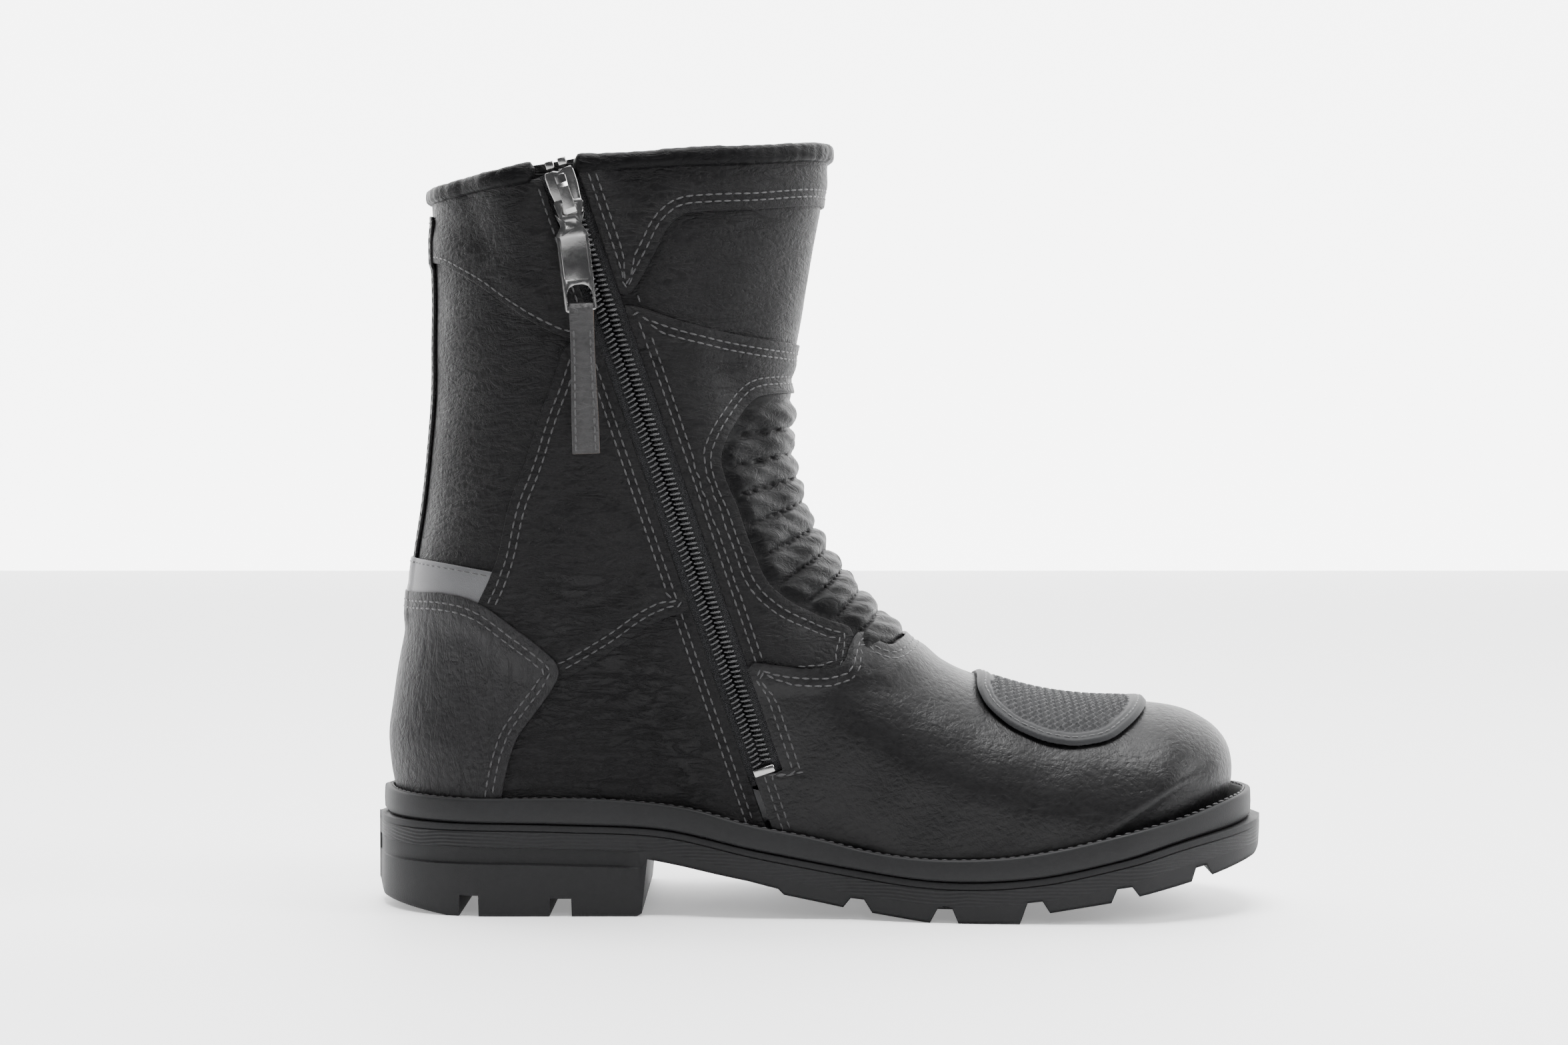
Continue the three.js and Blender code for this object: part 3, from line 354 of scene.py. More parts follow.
def distance_inside(outline, x, z):
    """Signed distance of side-view points to an outline, positive inside."""
    p = np.array(outline, float)
    q = np.roll(p, -1, 0)
    d = q - p
    flat = np.stack([x.ravel(), z.ravel()], -1)
    result = np.empty(len(flat))
    for start in range(0, len(flat), 20000):
        off = flat[start:start + 20000, None] - p
        t = np.clip((off * d).sum(-1) / (d * d).sum(-1), 0, 1)
        gap = off - t[..., None] * d
        away = np.sqrt((gap * gap).sum(-1)).min(1)
        below, above = off[..., 1] >= 0, off[..., 1] - d[:, 1] < 0
        cross = d[:, 0] * off[..., 1] - d[:, 1] * off[..., 0]
        winds = (below & above & (cross < 0)).sum(1) - (~below & ~above & (cross > 0)).sum(1)
        result[start:start + 20000] = np.where(winds != 0, away, -away)
    return result.reshape(x.shape)


STAY_HALF = 12.5
EDGES = {name: rounded(outline) for name, outline in OUTLINES.items()}
EDGES["guard"] = rounded(GUARD_EDGE)


def inside(name, points, side):
    """How far points lie inside a panel, in millimetres."""
    x, y, z = points[..., 0], points[..., 1], points[..., 2]
    depth = distance_inside(EDGES[name], x, z)
    if name == "stay":
        return np.minimum(depth, STAY_HALF - abs(y))
    slot = np.where(side < 0, ZIP_SLOT_HALF, 0.2)
    if name in BEHIND_ZIP:
        return np.minimum(depth, -from_zip(x, z) - slot)
    if name in BEFORE_ZIP:
        return np.minimum(depth, from_zip(x, z) - slot)
    if name == "vamp":
        return np.minimum(depth, from_zip(x, z) + np.where(z > 49, -slot, 9.0))
    return depth


# %% How the laps stack
SHEET = 1.2  # one layer of leather
LAP = 8.0  # how far a panel reaches under the one over it


def under_limit(name, points, side):
    """Positive where a panel is still there: at most a lap's width under the panels over it."""
    upper = ORDER[:ORDER.index(name)] if name in ORDER else []
    room = np.full(points.shape[:-1], 99.0)
    for other in upper:
        room = np.minimum(room, LAP - inside(other, points, side))
    return room


def outer_lifts(points, side):
    """Height of each panel's outer face over the skin, where laps lie on each other."""
    depth = {name: inside(name, points, side) for name in ORDER}
    lifts = {}
    for name in reversed(ORDER):
        lift = np.zeros(points.shape[:-1])
        for lower in ORDER[ORDER.index(name) + 1:]:
            there = smooth(depth[lower], -5, 0) * (1 - smooth(depth[name], LAP - 2, LAP + 7))
            lift = np.maximum(lift, there * (lifts[lower] * 0.6 + SHEET))
        lifts[name] = lift
    return lifts


# %% [markdown]
# ## From a grid to a sheet
# The grid is Blender's own. Each of its corners reads its place on the skin, and then slides to
# the cut line if the line crosses an edge beside it. A face with one corner outside is split
# along its diagonal, so the cut stays clean at any angle.

# %% Grids on the skin
SPANS = {"zip_side": (0.0, np.pi), "outer_side": (np.pi, 2 * np.pi),
         "round_front": (0.0, 2 * np.pi), "round_back": (-np.pi, np.pi)}


def fitted_range(region, span):
    """Stations and turns that hold a region, found on a coarse net."""
    s, turn = np.meshgrid(np.linspace(0, LAST, 180), np.linspace(*SPANS[span], 160), indexing="ij")
    points, side = skin_points(s, turn)
    rows, cols = np.nonzero(region(points, side) > -1.5)
    step_s, step_turn = s[1, 0] - s[0, 0], turn[0, 1] - turn[0, 0]
    low_s, high_s = s[rows.min(), 0] - step_s, s[rows.max(), 0] + step_s
    low_t, high_t = turn[0, cols.min()] - step_turn, turn[0, cols.max()] + step_turn
    start, end = SPANS[span]
    return (max(low_s, 0), min(high_s, LAST)), (max(low_t, start), min(high_t, end))


def snap(s, turn, value):
    """Moves grid corners onto the line where value is 0. Corners on it are marked 0."""
    moved = np.full(value.shape, np.inf)
    new_s, new_turn = s.copy(), turn.copy()
    for axis in (0, 1):
        a = (slice(None, -1), slice(None)) if axis == 0 else (slice(None), slice(None, -1))
        b = (slice(1, None), slice(None)) if axis == 0 else (slice(None), slice(1, None))
        crossing = value[a] * value[b] < 0
        share = np.where(crossing, value[a] / np.where(crossing, value[a] - value[b], 1), 0.0)
        for first in (True, False):
            here, there = (a, b) if first else (b, a)
            t = share if first else 1 - share
            use = crossing & ((share <= 0.5) if first else (share > 0.5)) & (t < moved[here])
            for old, new in ((s, new_s), (turn, new_turn)):
                target = new[here]
                target[use] = (old[here] + t * (old[there] - old[here]))[use]
            cell = moved[here]
            cell[use] = t[use]
    marked = np.where(np.isfinite(moved), 0.0, value)
    return new_s, new_turn, marked


def lay_grid(region, span, spacing):
    """A grid on the skin over a region: stations, turns, and the region's value at corners."""
    (s0, s1), (t0, t1) = fitted_range(region, span)
    run = np.interp([s0, s1], pace, station_length)
    rows = max(6, int((run[1] - run[0]) / spacing))
    at = np.interp(np.linspace(*run, rows + 1), station_length, pace)
    middle_ring, _ = skin_points(np.full(200, (s0 + s1) / 2), np.linspace(t0, t1, 200))
    around = np.linalg.norm(np.diff(middle_ring, axis=0), axis=1).sum()
    cols = max(6, int(around / spacing))
    s, turn = np.meshgrid(at, np.linspace(t0, t1, cols + 1), indexing="ij")
    points, side = skin_points(s, turn)
    return snap(s, turn, region(points, side))


def skin_normals(s, turn):
    """Directions straight out of the skin."""
    normal = read_net(NET_NORMAL, s, turn)
    return normal / np.maximum(np.linalg.norm(normal, axis=-1, keepdims=True), 1e-9)


# %% Sheets from grids
def sheet_mesh(s, turn, value, lift):
    """A bmesh of the grid's inside, at a lift over the skin."""
    rows, cols = s.shape
    normal = skin_normals(s, turn)
    place = skin_points(s, turn)[0] + normal * lift[..., None]
    bm = bmesh.new()
    bmesh.ops.create_grid(bm, x_segments=cols - 1, y_segments=rows - 1, size=1)
    at = {}
    for v in bm.verts:
        j = round((v.co.x + 1) / 2 * (cols - 1))
        i = round((v.co.y + 1) / 2 * (rows - 1))
        at[v] = value[i, j]
        v.co = place[i, j]
    eps = 1e-9
    drop = []
    for face in list(bm.faces):
        corners = list(face.verts)
        outside = [k for k, v in enumerate(corners) if at[v] < -eps]
        if not outside:
            if all(abs(at[v]) <= eps for v in corners):
                drop.append(face)
            continue
        if len(outside) == 1 and at[corners[(outside[0] + 2) % 4]] > eps:
            k = outside[0]
            before, after = corners[(k - 1) % 4], corners[(k + 1) % 4]
            bmesh.utils.face_split(face, before, after)
            drop += [f for f in corners[k].link_faces
                     if set(f.verts) == {corners[k], before, after}]
        else:
            drop.append(face)
    bmesh.ops.delete(bm, geom=list(set(drop)), context="FACES")
    loose = [v for v in bm.verts if not v.link_faces]
    bmesh.ops.delete(bm, geom=loose, context="VERTS")
    bmesh.ops.remove_doubles(bm, verts=bm.verts, dist=0.01)
    i, j = np.argwhere(value > 0)[0]
    start = Vector(place[i, j])
    face = min(bm.faces, key=lambda f: (f.calc_center_median() - start).length)
    if face.normal.dot(Vector(normal[i, j])) < 0:
        bmesh.ops.reverse_faces(bm, faces=bm.faces)
    return bm


def thicken(bm, thickness, edge_radius, segments=2):
    """Gives a sheet its thickness inwards, and rounds its edges."""
    bm.normal_update()
    bmesh.ops.solidify(bm, geom=list(bm.faces), thickness=thickness)
    if not edge_radius:
        return bm
    bm.normal_update()
    sharp = [e for e in bm.edges if len(e.link_faces) == 2 and e.calc_face_angle() > 0.9]
    bmesh.ops.bevel(bm, geom=sharp, offset=edge_radius, segments=segments, profile=0.5,
                    affect="EDGES", material=-1, offset_type="OFFSET", clamp_overlap=True)
    return bm


# %% Hanging a piece on its body
def finish_mesh(bm, name, body, material, replaces=()):
    """Turns a bmesh in millimetres into a finished piece that rides on a body."""
    bmesh.ops.scale(bm, vec=(MM, MM, MM), verts=bm.verts)
    for face in bm.faces:
        face.smooth = True
    mesh = bpy.data.meshes.new(name)
    bm.to_mesh(mesh)
    bm.free()
    piece = bpy.data.objects.new(name, mesh)
    bpy.context.scene.collection.objects.link(piece)
    mesh.materials.append(material)
    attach(piece, body)
    if replaces:
        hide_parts(*replaces)
    print(name, len(mesh.polygons), "faces")
    return piece


# %% [markdown]
# ## Stitches
# A row of stitches follows each seam at a fixed distance from the cut edge. The distance is known
# at every corner of the panel's grid, so the row is a contour line of it. Each stitch is a small
# pinched bead of thread, laid along the line.

# %% Contour lines on a grid
def contours(level, value, place):
    """Chains of points where value crosses level on a grid of places."""
    rows, cols = value.shape
    over = value > level
    points, links = {}, {}

    def crossing(a, b):
        key = (a, b)
        if key not in points:
            t = (level - value[a]) / (value[b] - value[a])
            points[key] = place[a] + t * (place[b] - place[a])
        return key

    mixed = (over[:-1, :-1] != over[1:, :-1]) | (over[:-1, :-1] != over[:-1, 1:])
    mixed |= over[:-1, :-1] != over[1:, 1:]
    for i, j in np.argwhere(mixed):
        ring = [(i, j), (i + 1, j), (i + 1, j + 1), (i, j + 1)]
        found = []
        for k in range(4):
            a, b = sorted((ring[k], ring[(k + 1) % 4]))
            if over[a] != over[b]:
                found.append(crossing(a, b))
        if len(found) == 2:
            links.setdefault(found[0], []).append(found[1])
            links.setdefault(found[1], []).append(found[0])
    chains, used = [], set()
    starts = [k for k, v in links.items() if len(v) == 1] + list(links)
    for start in starts:
        if start in used:
            continue
        chain, here = [start], start
        used.add(start)
        while True:
            onward = [n for n in links[here] if n not in used]
            if not onward:
                break
            here = onward[0]
            used.add(here)
            chain.append(here)
        if len(chain) > 3:
            chains.append(np.array([points[k] for k in chain]))
    return chains


def paced(chain, pitch):
    """Middles and directions of stitches along a chain of rows: x, y, z, normal, shown."""
    step = np.linalg.norm(np.diff(chain[:, :3], axis=0), axis=1)
    run = np.r_[0, np.cumsum(step)]
    count = int(run[-1] / pitch)
    at = (np.arange(count) + 0.5) * pitch
    columns = [np.interp(at, run, chain[:, k]) for k in range(chain.shape[1])]
    ahead = [np.interp(at + 0.6, run, chain[:, k]) - np.interp(at - 0.6, run, chain[:, k])
             for k in range(3)]
    return np.stack(columns, -1), np.stack(ahead, -1)


# %% Stitches and their places
STITCH_PITCH, STITCH_LENGTH, THREAD = 3.4, 2.9, 0.62


def bead_mesh():
    """One stitch, lying along X with its back sunk a little."""
    bm = bmesh.new()
    bmesh.ops.create_uvsphere(bm, u_segments=6, v_segments=6, radius=0.5)
    bmesh.ops.rotate(bm, verts=bm.verts, matrix=Matrix.Rotation(math.pi / 2, 3, "Y"))
    for v in bm.verts:
        v.co.x = math.copysign(abs(v.co.x * 2) ** 0.7 / 2, v.co.x)
        v.co.z += -0.9 * v.co.x**2
    bmesh.ops.scale(bm, vec=(STITCH_LENGTH, THREAD, THREAD), verts=bm.verts)
    mesh = bpy.data.meshes.new("stitch")
    bm.to_mesh(mesh)
    bm.free()
    return mesh


STITCH = bead_mesh()


def frame_matrix(place, along, normal, sink):
    """A place whose X runs along a direction and whose Z is the surface's normal."""
    n = Vector(normal).normalized()
    t = (Vector(along) - n * Vector(along).dot(n)).normalized()
    b = n.cross(t)
    return Matrix([[t.x, b.x, n.x, place[0] - n.x * sink],
                   [t.y, b.y, n.y, place[1] - n.y * sink],
                   [t.z, b.z, n.z, place[2] - n.z * sink], [0, 0, 0, 1]])


def scatter(bm, mesh, matrices):
    """Adds a copy of a small mesh at each place."""
    for matrix in matrices:
        copy = mesh.copy()
        copy.transform(matrix)
        bm.from_mesh(copy)
        bpy.data.meshes.remove(copy)


def stitch_rows(bm, chains, pitch=STITCH_PITCH):
    """Sews stitches along chains, where the last column of a chain is positive."""
    for chain in chains:
        places, along = paced(chain, pitch)
        scatter(bm, STITCH, [frame_matrix(p[:3], a, p[3:6], 0.02) for p, a in zip(places, along)
                             if p[6] > 0])


# %% [markdown]
# ## Finishes
# Every finish is built from noise and cell patterns on the object's own coordinates, so it stays
# fixed to the piece from every side. A small class writes the maths between nodes as plain
# expressions, which keeps each recipe readable.

# %% Writing shader maths as expressions
class Value:
    """A number that changes over a surface."""

    def __init__(self, finish, socket):
        self.finish, self.socket = finish, socket

    def maths(self, operation, a, b=None):
        inputs = {0: a} if b is None else {0: a, 1: b}
        return self.finish.node("ShaderNodeMath", {"operation": operation}, inputs, 0)

    def __add__(self, other):
        return self.maths("ADD", self, other)

    def __sub__(self, other):
        return self.maths("SUBTRACT", self, other)

    def __rsub__(self, other):
        return self.maths("SUBTRACT", other, self)

    def __mul__(self, other):
        return self.maths("MULTIPLY", self, other)

    def __pow__(self, other):
        return self.maths("POWER", self, other)

    __radd__, __rmul__ = __add__, __mul__

    def absolute(self):
        return self.maths("ABSOLUTE", self)

    def wave(self):
        return self.maths("SINE", self)


# %% One material
class Finish:
    """A material with one principled shader."""

    def __init__(self, name, **constants):
        self.material = bpy.data.materials.new(name)
        self.material.use_nodes = True
        self.tree = self.material.node_tree
        self.tree.nodes.clear()
        self.shader = self.tree.nodes.new("ShaderNodeBsdfPrincipled")
        output = self.tree.nodes.new("ShaderNodeOutputMaterial")
        self.tree.links.new(self.shader.outputs[0], output.inputs[0])
        for socket, value in constants.items():
            self.put(self.shader.inputs[socket.replace("_", " ")], value)
        self.place = self.node("ShaderNodeTexCoord", {}, {}, "Object")

    def put(self, socket, value):
        if isinstance(value, Value):
            self.tree.links.new(value.socket, socket)
        else:
            socket.default_value = value

    def node(self, kind, settings, inputs, output):
        made = self.tree.nodes.new(kind)
        for name, setting in settings.items():
            setattr(made, name, setting)
        for name, value in inputs.items():
            self.put(made.inputs[name], value)
        return Value(self, made.outputs[output])

    def stretched(self, scale):
        """The place on the piece with its axes scaled, so that a pattern runs one way."""
        return self.node("ShaderNodeMapping", {}, {"Vector": self.place, "Scale": scale}, 0)

    def noise(self, scale, detail=3.0, roughness=0.5, place=None, distortion=0.0):
        return self.node("ShaderNodeTexNoise", {}, {
            "Vector": place or self.place, "Scale": scale, "Detail": detail,
            "Roughness": roughness, "Distortion": distortion}, 0)

    def cells(self, scale, feature="F1"):
        return self.node("ShaderNodeTexVoronoi", {"feature": feature},
                         {"Vector": self.place, "Scale": scale}, "Distance")

    def colour(self, low, high, factor):
        return self.node("ShaderNodeMix", {"data_type": "RGBA"},
                         {0: factor, 6: (*low, 1), 7: (*high, 1)}, 2)

    def finish(self, colour, roughness, height, depth):
        """Sets the colour and roughness, and the relief from a height and its depth in metres."""
        self.put(self.shader.inputs["Base Color"], colour)
        self.put(self.shader.inputs["Roughness"], roughness)
        bump = self.node("ShaderNodeBump", {}, {"Height": height, "Distance": depth,
                                                "Strength": 1.0}, 0)
        self.put(self.shader.inputs["Normal"], bump)
        return self.material


# %% [markdown]
# ### Leather
# Full-grain leather shows small pebbles with fine wrinkles between them, and longer creases across
# the way it bends. Cells give the pebbles, stretched noise the creases. The vamp is pulled over a
# last, so it is smoother and shines more.

# %% Leather finishes
def leather(name, dark, light, rough, grain, crease, crease_scale=(1, 1, 3.2), shine=0.13):
    """Leather between two tones. grain and crease say how deep its pebbles and its folds are."""
    f = Finish(name, Specular_IOR_Level=shine)
    wander = f.noise(60, 2)
    pebble = f.cells(620, feature="SMOOTH_F1")
    small = f.cells(1500)
    fold = f.noise(95, 5, 0.62, f.stretched(crease_scale), 0.6)
    ridge = 1 - (fold - 0.5).absolute() * 2
    line = (ridge ** 9) * crease
    height = pebble * grain + small * (grain * 0.35) - line * 1.6
    tint = wander * 0.5 + pebble * 0.6
    return f.finish(f.colour(dark, light, tint), wander * 0.16 + pebble * 0.12 + rough,
                    height, 0.00035)


LEATHER = leather("grained black leather", (0.0015, 0.0015, 0.0017), (0.006, 0.0058, 0.0063), 0.36,
                  0.75, 0.5)
LEATHER_HEEL = leather("grained black leather, creased down", (0.0025, 0.0025, 0.0028),
                       (0.01, 0.0095, 0.0105), 0.37, 0.7, 0.45, (2.6, 1.6, 0.8), shine=0.2)
LEATHER_VAMP = leather("lasted black leather", (0.0015, 0.0015, 0.0017), (0.005, 0.0048, 0.0053),
                       0.3, 0.4, 0.12, (1.2, 1, 1.8), shine=0.2)
LEATHER_SMOOTH = leather("smooth black nappa", (0.0012, 0.0012, 0.0014), (0.004, 0.004, 0.0043),
                         0.3, 0.22, 0.3, (1, 1, 2.5), shine=0.07)
LEATHER_STRAP = leather("strap leather", (0.008, 0.0078, 0.008), (0.026, 0.025, 0.026), 0.42, 0.9,
                        0.3, shine=0.4)


# %% [markdown]
# ### Rubber, thread, tape, coil, metal and lining
# Moulded rubber is matt with a very fine spark texture. The welt band of the sole has long wavy
# lines like sawn wood. Thread is twisted, tape is woven, and the puller is polished dark nickel.

# %% Other finishes
def rubber(name, dark, light, rough, grooved=0.0):
    f = Finish(name, Specular_IOR_Level=0.25)
    fine = f.noise(2600, 2, 0.6)
    cloud = f.noise(45, 3)
    height = fine * 0.3
    if grooved:
        bent = f.noise(26, 2, 0.5, f.stretched((1, 1, 0.6)))
        at = f.node("ShaderNodeSeparateXYZ", {}, {0: f.place}, 2)
        line = ((at * 5200 + bent * 26).wave() * 0.5 + 0.5)
        height = height + line * grooved
    return f.finish(f.colour(dark, light, cloud), cloud * 0.15 + rough, height, 0.00025)


RUBBER = rubber("matt sole rubber", (0.004, 0.0041, 0.0045), (0.009, 0.0092, 0.01), 0.52)
RUBBER_BAND = rubber("sole rubber with wavy lines", (0.004, 0.0041, 0.0045),
                     (0.009, 0.0092, 0.01), 0.5, 0.9)
RUBBER_GUARD = rubber("toe guard rubber", (0.008, 0.0082, 0.009), (0.016, 0.0165, 0.018), 0.5)


# %% Thread, cloth, metal and film
def thread_finish():
    f = Finish("black twisted thread", Sheen_Weight=0.2)
    twist = f.noise(2400, 2, 0.5, f.stretched((1, 1, 1.6)))
    return f.finish(f.colour((0.006, 0.006, 0.0065), (0.022, 0.022, 0.024), twist),
                    twist * 0.2 + 0.4, twist, 0.0001)


def woven(name, dark, light, pitch, rough=0.8, depth=0.00025):
    f = Finish(name, Sheen_Weight=0.3, Sheen_Roughness=0.5)
    parts = [f.node("ShaderNodeSeparateXYZ", {}, {0: f.place}, k) for k in range(3)]
    turns = 2 * math.pi / pitch
    along = (parts[2] * turns + parts[0] * (turns * 0.34)).wave()
    across = (parts[0] * turns + parts[1] * turns - parts[2] * (turns * 0.34)).wave()
    weave = along * across * 0.5 + 0.5
    fuzz = f.noise(1800, 2)
    return f.finish(f.colour(dark, light, weave * 0.7 + fuzz * 0.3), weave * 0.1 + rough,
                    weave + fuzz * 0.4, depth)


def metal_finish():
    f = Finish("polished dark nickel", Metallic=1.0)
    scuff = f.noise(420, 4, 0.65)
    cloud = f.noise(110, 3)
    return f.finish(f.colour((0.2, 0.198, 0.196), (0.42, 0.415, 0.41), cloud), scuff * 0.22 + 0.1,
                    scuff, 0.00003)


def coil_finish():
    f = Finish("black nylon coil", Specular_IOR_Level=0.6)
    cloud = f.noise(900, 2)
    return f.finish(f.colour((0.008, 0.008, 0.009), (0.02, 0.02, 0.022), cloud),
                    cloud * 0.15 + 0.2, cloud, 0.00004)


def strip_finish():
    f = Finish("grey reflective film", Metallic=0.25)
    beads = f.cells(3800)
    cloud = f.noise(60, 4)
    return f.finish(f.colour((0.045, 0.045, 0.048), (0.1, 0.1, 0.104), cloud * 0.7 + beads * 0.3),
                    cloud * 0.2 + 0.36, beads + cloud * 0.8, 0.00008)


def raw_edge_finish():
    f = Finish("raw cut leather edge")
    fibre = f.noise(900, 4, 0.7, f.stretched((1, 3, 0.4)))
    return f.finish(f.colour((0.02, 0.014, 0.011), (0.09, 0.055, 0.035), fibre), fibre * 0.1 + 0.75,
                    fibre, 0.0002)


THREAD_FINISH = thread_finish()
TAPE = woven("woven zip tape", (0.006, 0.006, 0.007), (0.026, 0.026, 0.029), 0.0009)
LINING = woven("knitted lining", (0.02, 0.02, 0.022), (0.075, 0.075, 0.08), 0.0021)
METAL = metal_finish()
COIL = coil_finish()
STRIP = strip_finish()
RAW_EDGE = raw_edge_finish()
print(len(bpy.data.materials), "finishes")

# %% [markdown]
# ## Sewing the upper together
# The panels go on from the lowest lap to the highest. The function below lays one panel, gives it
# its place in the stack, bends it down a little beside its stitches, and sews the rows that show.

# %% One panel
SHOWN_OVER_RIM = 0.5  # stitches show only this far over the edge of the sole's cup


def swell(points, side):
    """Soft unevenness of worn leather, in millimetres."""
    x, y, z = points[..., 0], points[..., 1], points[..., 2]
    y = np.where(side < 0, y, y + 31)
    return 0.22 * (np.sin(x * 0.11 + z * 0.05 + 1.3) * np.sin(z * 0.087 - y * 0.03)
                   + 0.6 * np.sin(x * 0.23 - z * 0.19 + y * 0.07))


def seam_distance(s, turn, value):
    """The region's value turned into a distance along the surface."""
    place = skin_points(s, turn)[0]
    down = np.gradient(place, axis=0)
    along = np.gradient(place, axis=1)
    f_down, f_along = np.gradient(value, axis=0), np.gradient(value, axis=1)
    e, f, g = (down * down).sum(-1), (down * along).sum(-1), (along * along).sum(-1)
    slope = (g * f_down**2 - 2 * f * f_down * f_along + e * f_along**2)
    slope = np.sqrt(np.maximum(slope, 1e-9) / np.maximum(e * g - f * f, 1e-9))
    return value / np.clip(slope, 0.25, 1.05)


PIPING_UNDER = [*[[x, z + 1.0] for x, z in PIPING_REAR[:-1]],
                *[[x, z + 1.0] for x, z in PIPING_FRONT[1:]], [300, 261], [300, -60], [-90, -60],
                [-90, 243.5]]


def panel_region(name, points, side):
    """Positive where a panel has leather: in its outline, over the sole and under the roll."""
    x, z = points[..., 0], points[..., 2]
    value = np.minimum(inside(name, points, side), under_limit(name, points, side))
    value = np.minimum(value, z - (rim_top(x) - 5))
    collar = np.minimum(distance_inside(PIPING_UNDER, x, z), 50)
    return np.minimum(value, collar)


# %% Cutting and sewing
def make_panel(name, title, span, finish, replaces, spacing=1.5, rows=(3.2, 5.6),
               extra=None, edge=0.42):
    """Cuts, thickens and sews one panel. extra adds height that depends on place and seam."""
    s, turn, value = lay_grid(lambda points, side: panel_region(name, points, side), span, spacing)
    points, side = skin_points(s, turn)
    seam = seam_distance(s, turn, inside(name, points, side))
    lift = outer_lifts(points, side)[name] + swell(points, side)
    if len(rows) > 1:
        lift = lift - 0.3 * np.exp(-(((seam - sum(rows) / 2) / 2.0) ** 2))
    if extra is not None:
        lift = lift + extra(points, side, seam)
    bm = sheet_mesh(s, turn, value, lift)
    thicken(bm, SHEET, edge)
    piece = finish_mesh(bm, title, "boot", finish, replaces)
    normal = skin_normals(s, turn)
    place = points + normal * lift[..., None]
    shown = np.minimum(value - 1.5, points[..., 2] - rim_top(points[..., 0]) - SHOWN_OVER_RIM)
    for other in ORDER[:ORDER.index(name)]:
        shown = np.minimum(shown, -inside(other, points, side) - 0.6)
    stack = np.concatenate([place, normal, shown[..., None]], -1)
    sewn = bmesh.new()
    for row in rows:
        stitch_rows(sewn, contours(row, seam, stack))
    if len(sewn.verts):
        finish_mesh(sewn, title + "_stitches", "boot", THREAD_FINISH)
    else:
        sewn.free()
    return piece


# %% [markdown]
# ### The plain panels
# Each row says which outline is cut, which sides it covers, its leather, and the frame pieces
# that it stands for. A padded panel also hides the foam behind it.

# %% Heel, back, ankle and front panels
ANKLE_DISC, DISC_SEAM, DISC_DOME = (33.5, 124.3), 18.5, 1.5  # centre, radius of the seam, height


def ankle_mark(points, side, seam):
    """The foam disc behind the ankle panel pushes it out, inside a round seam."""
    away = np.hypot(points[..., 0] - ANKLE_DISC[0], points[..., 2] - ANKLE_DISC[1])
    dome = DISC_DOME * (1 - smooth(away, 4, DISC_SEAM - 1))
    return dome - 0.5 * np.exp(-((away - DISC_SEAM) ** 2))


for side_name, span in (("medial", "zip_side"), ("lateral", "outer_side")):
    make_panel("back", f"{side_name}_back_panel_leather", span, LEATHER,
               [f"{side_name}_back_panel"], rows=())
    make_panel("rear_top", f"{side_name}_rear_top_leather", span, LEATHER,
               [f"{side_name}_rear_top_panel"], rows=(2.2,))
    make_panel("quarter", f"{side_name}_quarter_leather", span, LEATHER,
               [f"{side_name}_quarter"])
    make_panel("ankle", f"{side_name}_ankle_leather", span, LEATHER,
               [f"{side_name}_ankle_panel", f"{side_name}_ankle_pad"], extra=ankle_mark)
make_panel("shin", "shin_panel_leather", "round_front", LEATHER, ["shin_panel"])
make_panel("vamp", "vamp_leather", "round_front", LEATHER_VAMP, ["vamp"],
           spacing=1.8)
make_panel("yoke", "front_yoke_leather", "round_front", LEATHER, ["front_yoke"])
make_panel("band", "collar_band_leather", "round_front", LEATHER,
           ["collar_band", "collar_padding_front"])
make_panel("stay", "back_stay_leather", "round_back", LEATHER, ["back_stay"], rows=(2.4,))
make_panel("strip", "reflective_strip_film", "round_back", STRIP,
           ["reflective_strip"], rows=(1.6,), edge=0.3)
make_panel("heel_cover", "heel_cover_leather", "round_back", LEATHER_HEEL, ["heel_cover"])

# %% [markdown]
# ## The ribbed flex panel
# Where the ankle bends, soft nappa is quilted over foam into ten rolls. They could be modelled one
# by one, but they share seams, so the panel is one sheet whose height rises and falls between
# the sewn lines. The lines fan out from the zip's side to the shin.

# %% Rolls between sewn lines
ROLL_INNER = [[88, 174], [84, 163.5], [82, 153.1], [85.2, 143.5], [88.3, 133.3], [92.4, 122.6],
              [97.8, 112.7], [108.1, 106.4], [117.8, 101.2], [126.7, 96.7], [134, 91]]
ROLL_FRONT = [[103.3, 175.7], [102.1, 166.1], [102.3, 157.1], [104.2, 148.7], [107, 140.5],
              [111.5, 131.5], [115.7, 124], [120.9, 116.5], [126.5, 109.2], [133.3, 101.7],
              [141.3, 93.5]]
ROLL_HEIGHT = 2.9


def roll_number(x, z):
    """Counts sewn lines from the top down, with the share of the way to the next."""
    below = []
    for (x0, z0), (x1, z1) in zip(ROLL_INNER, ROLL_FRONT):
        run = math.hypot(x1 - x0, z1 - z0)
        below.append(((x - x0) * (z1 - z0) - (z - z0) * (x1 - x0)) / run)
    below = np.array(below)
    index = np.clip((below > 0).sum(0) - 1, 0, len(ROLL_INNER) - 2)
    first = np.take_along_axis(below, index[None], 0)[0]
    second = np.take_along_axis(below, index[None] + 1, 0)[0]
    return index + np.clip(first / np.maximum(first - second, 1e-6), 0, 1)


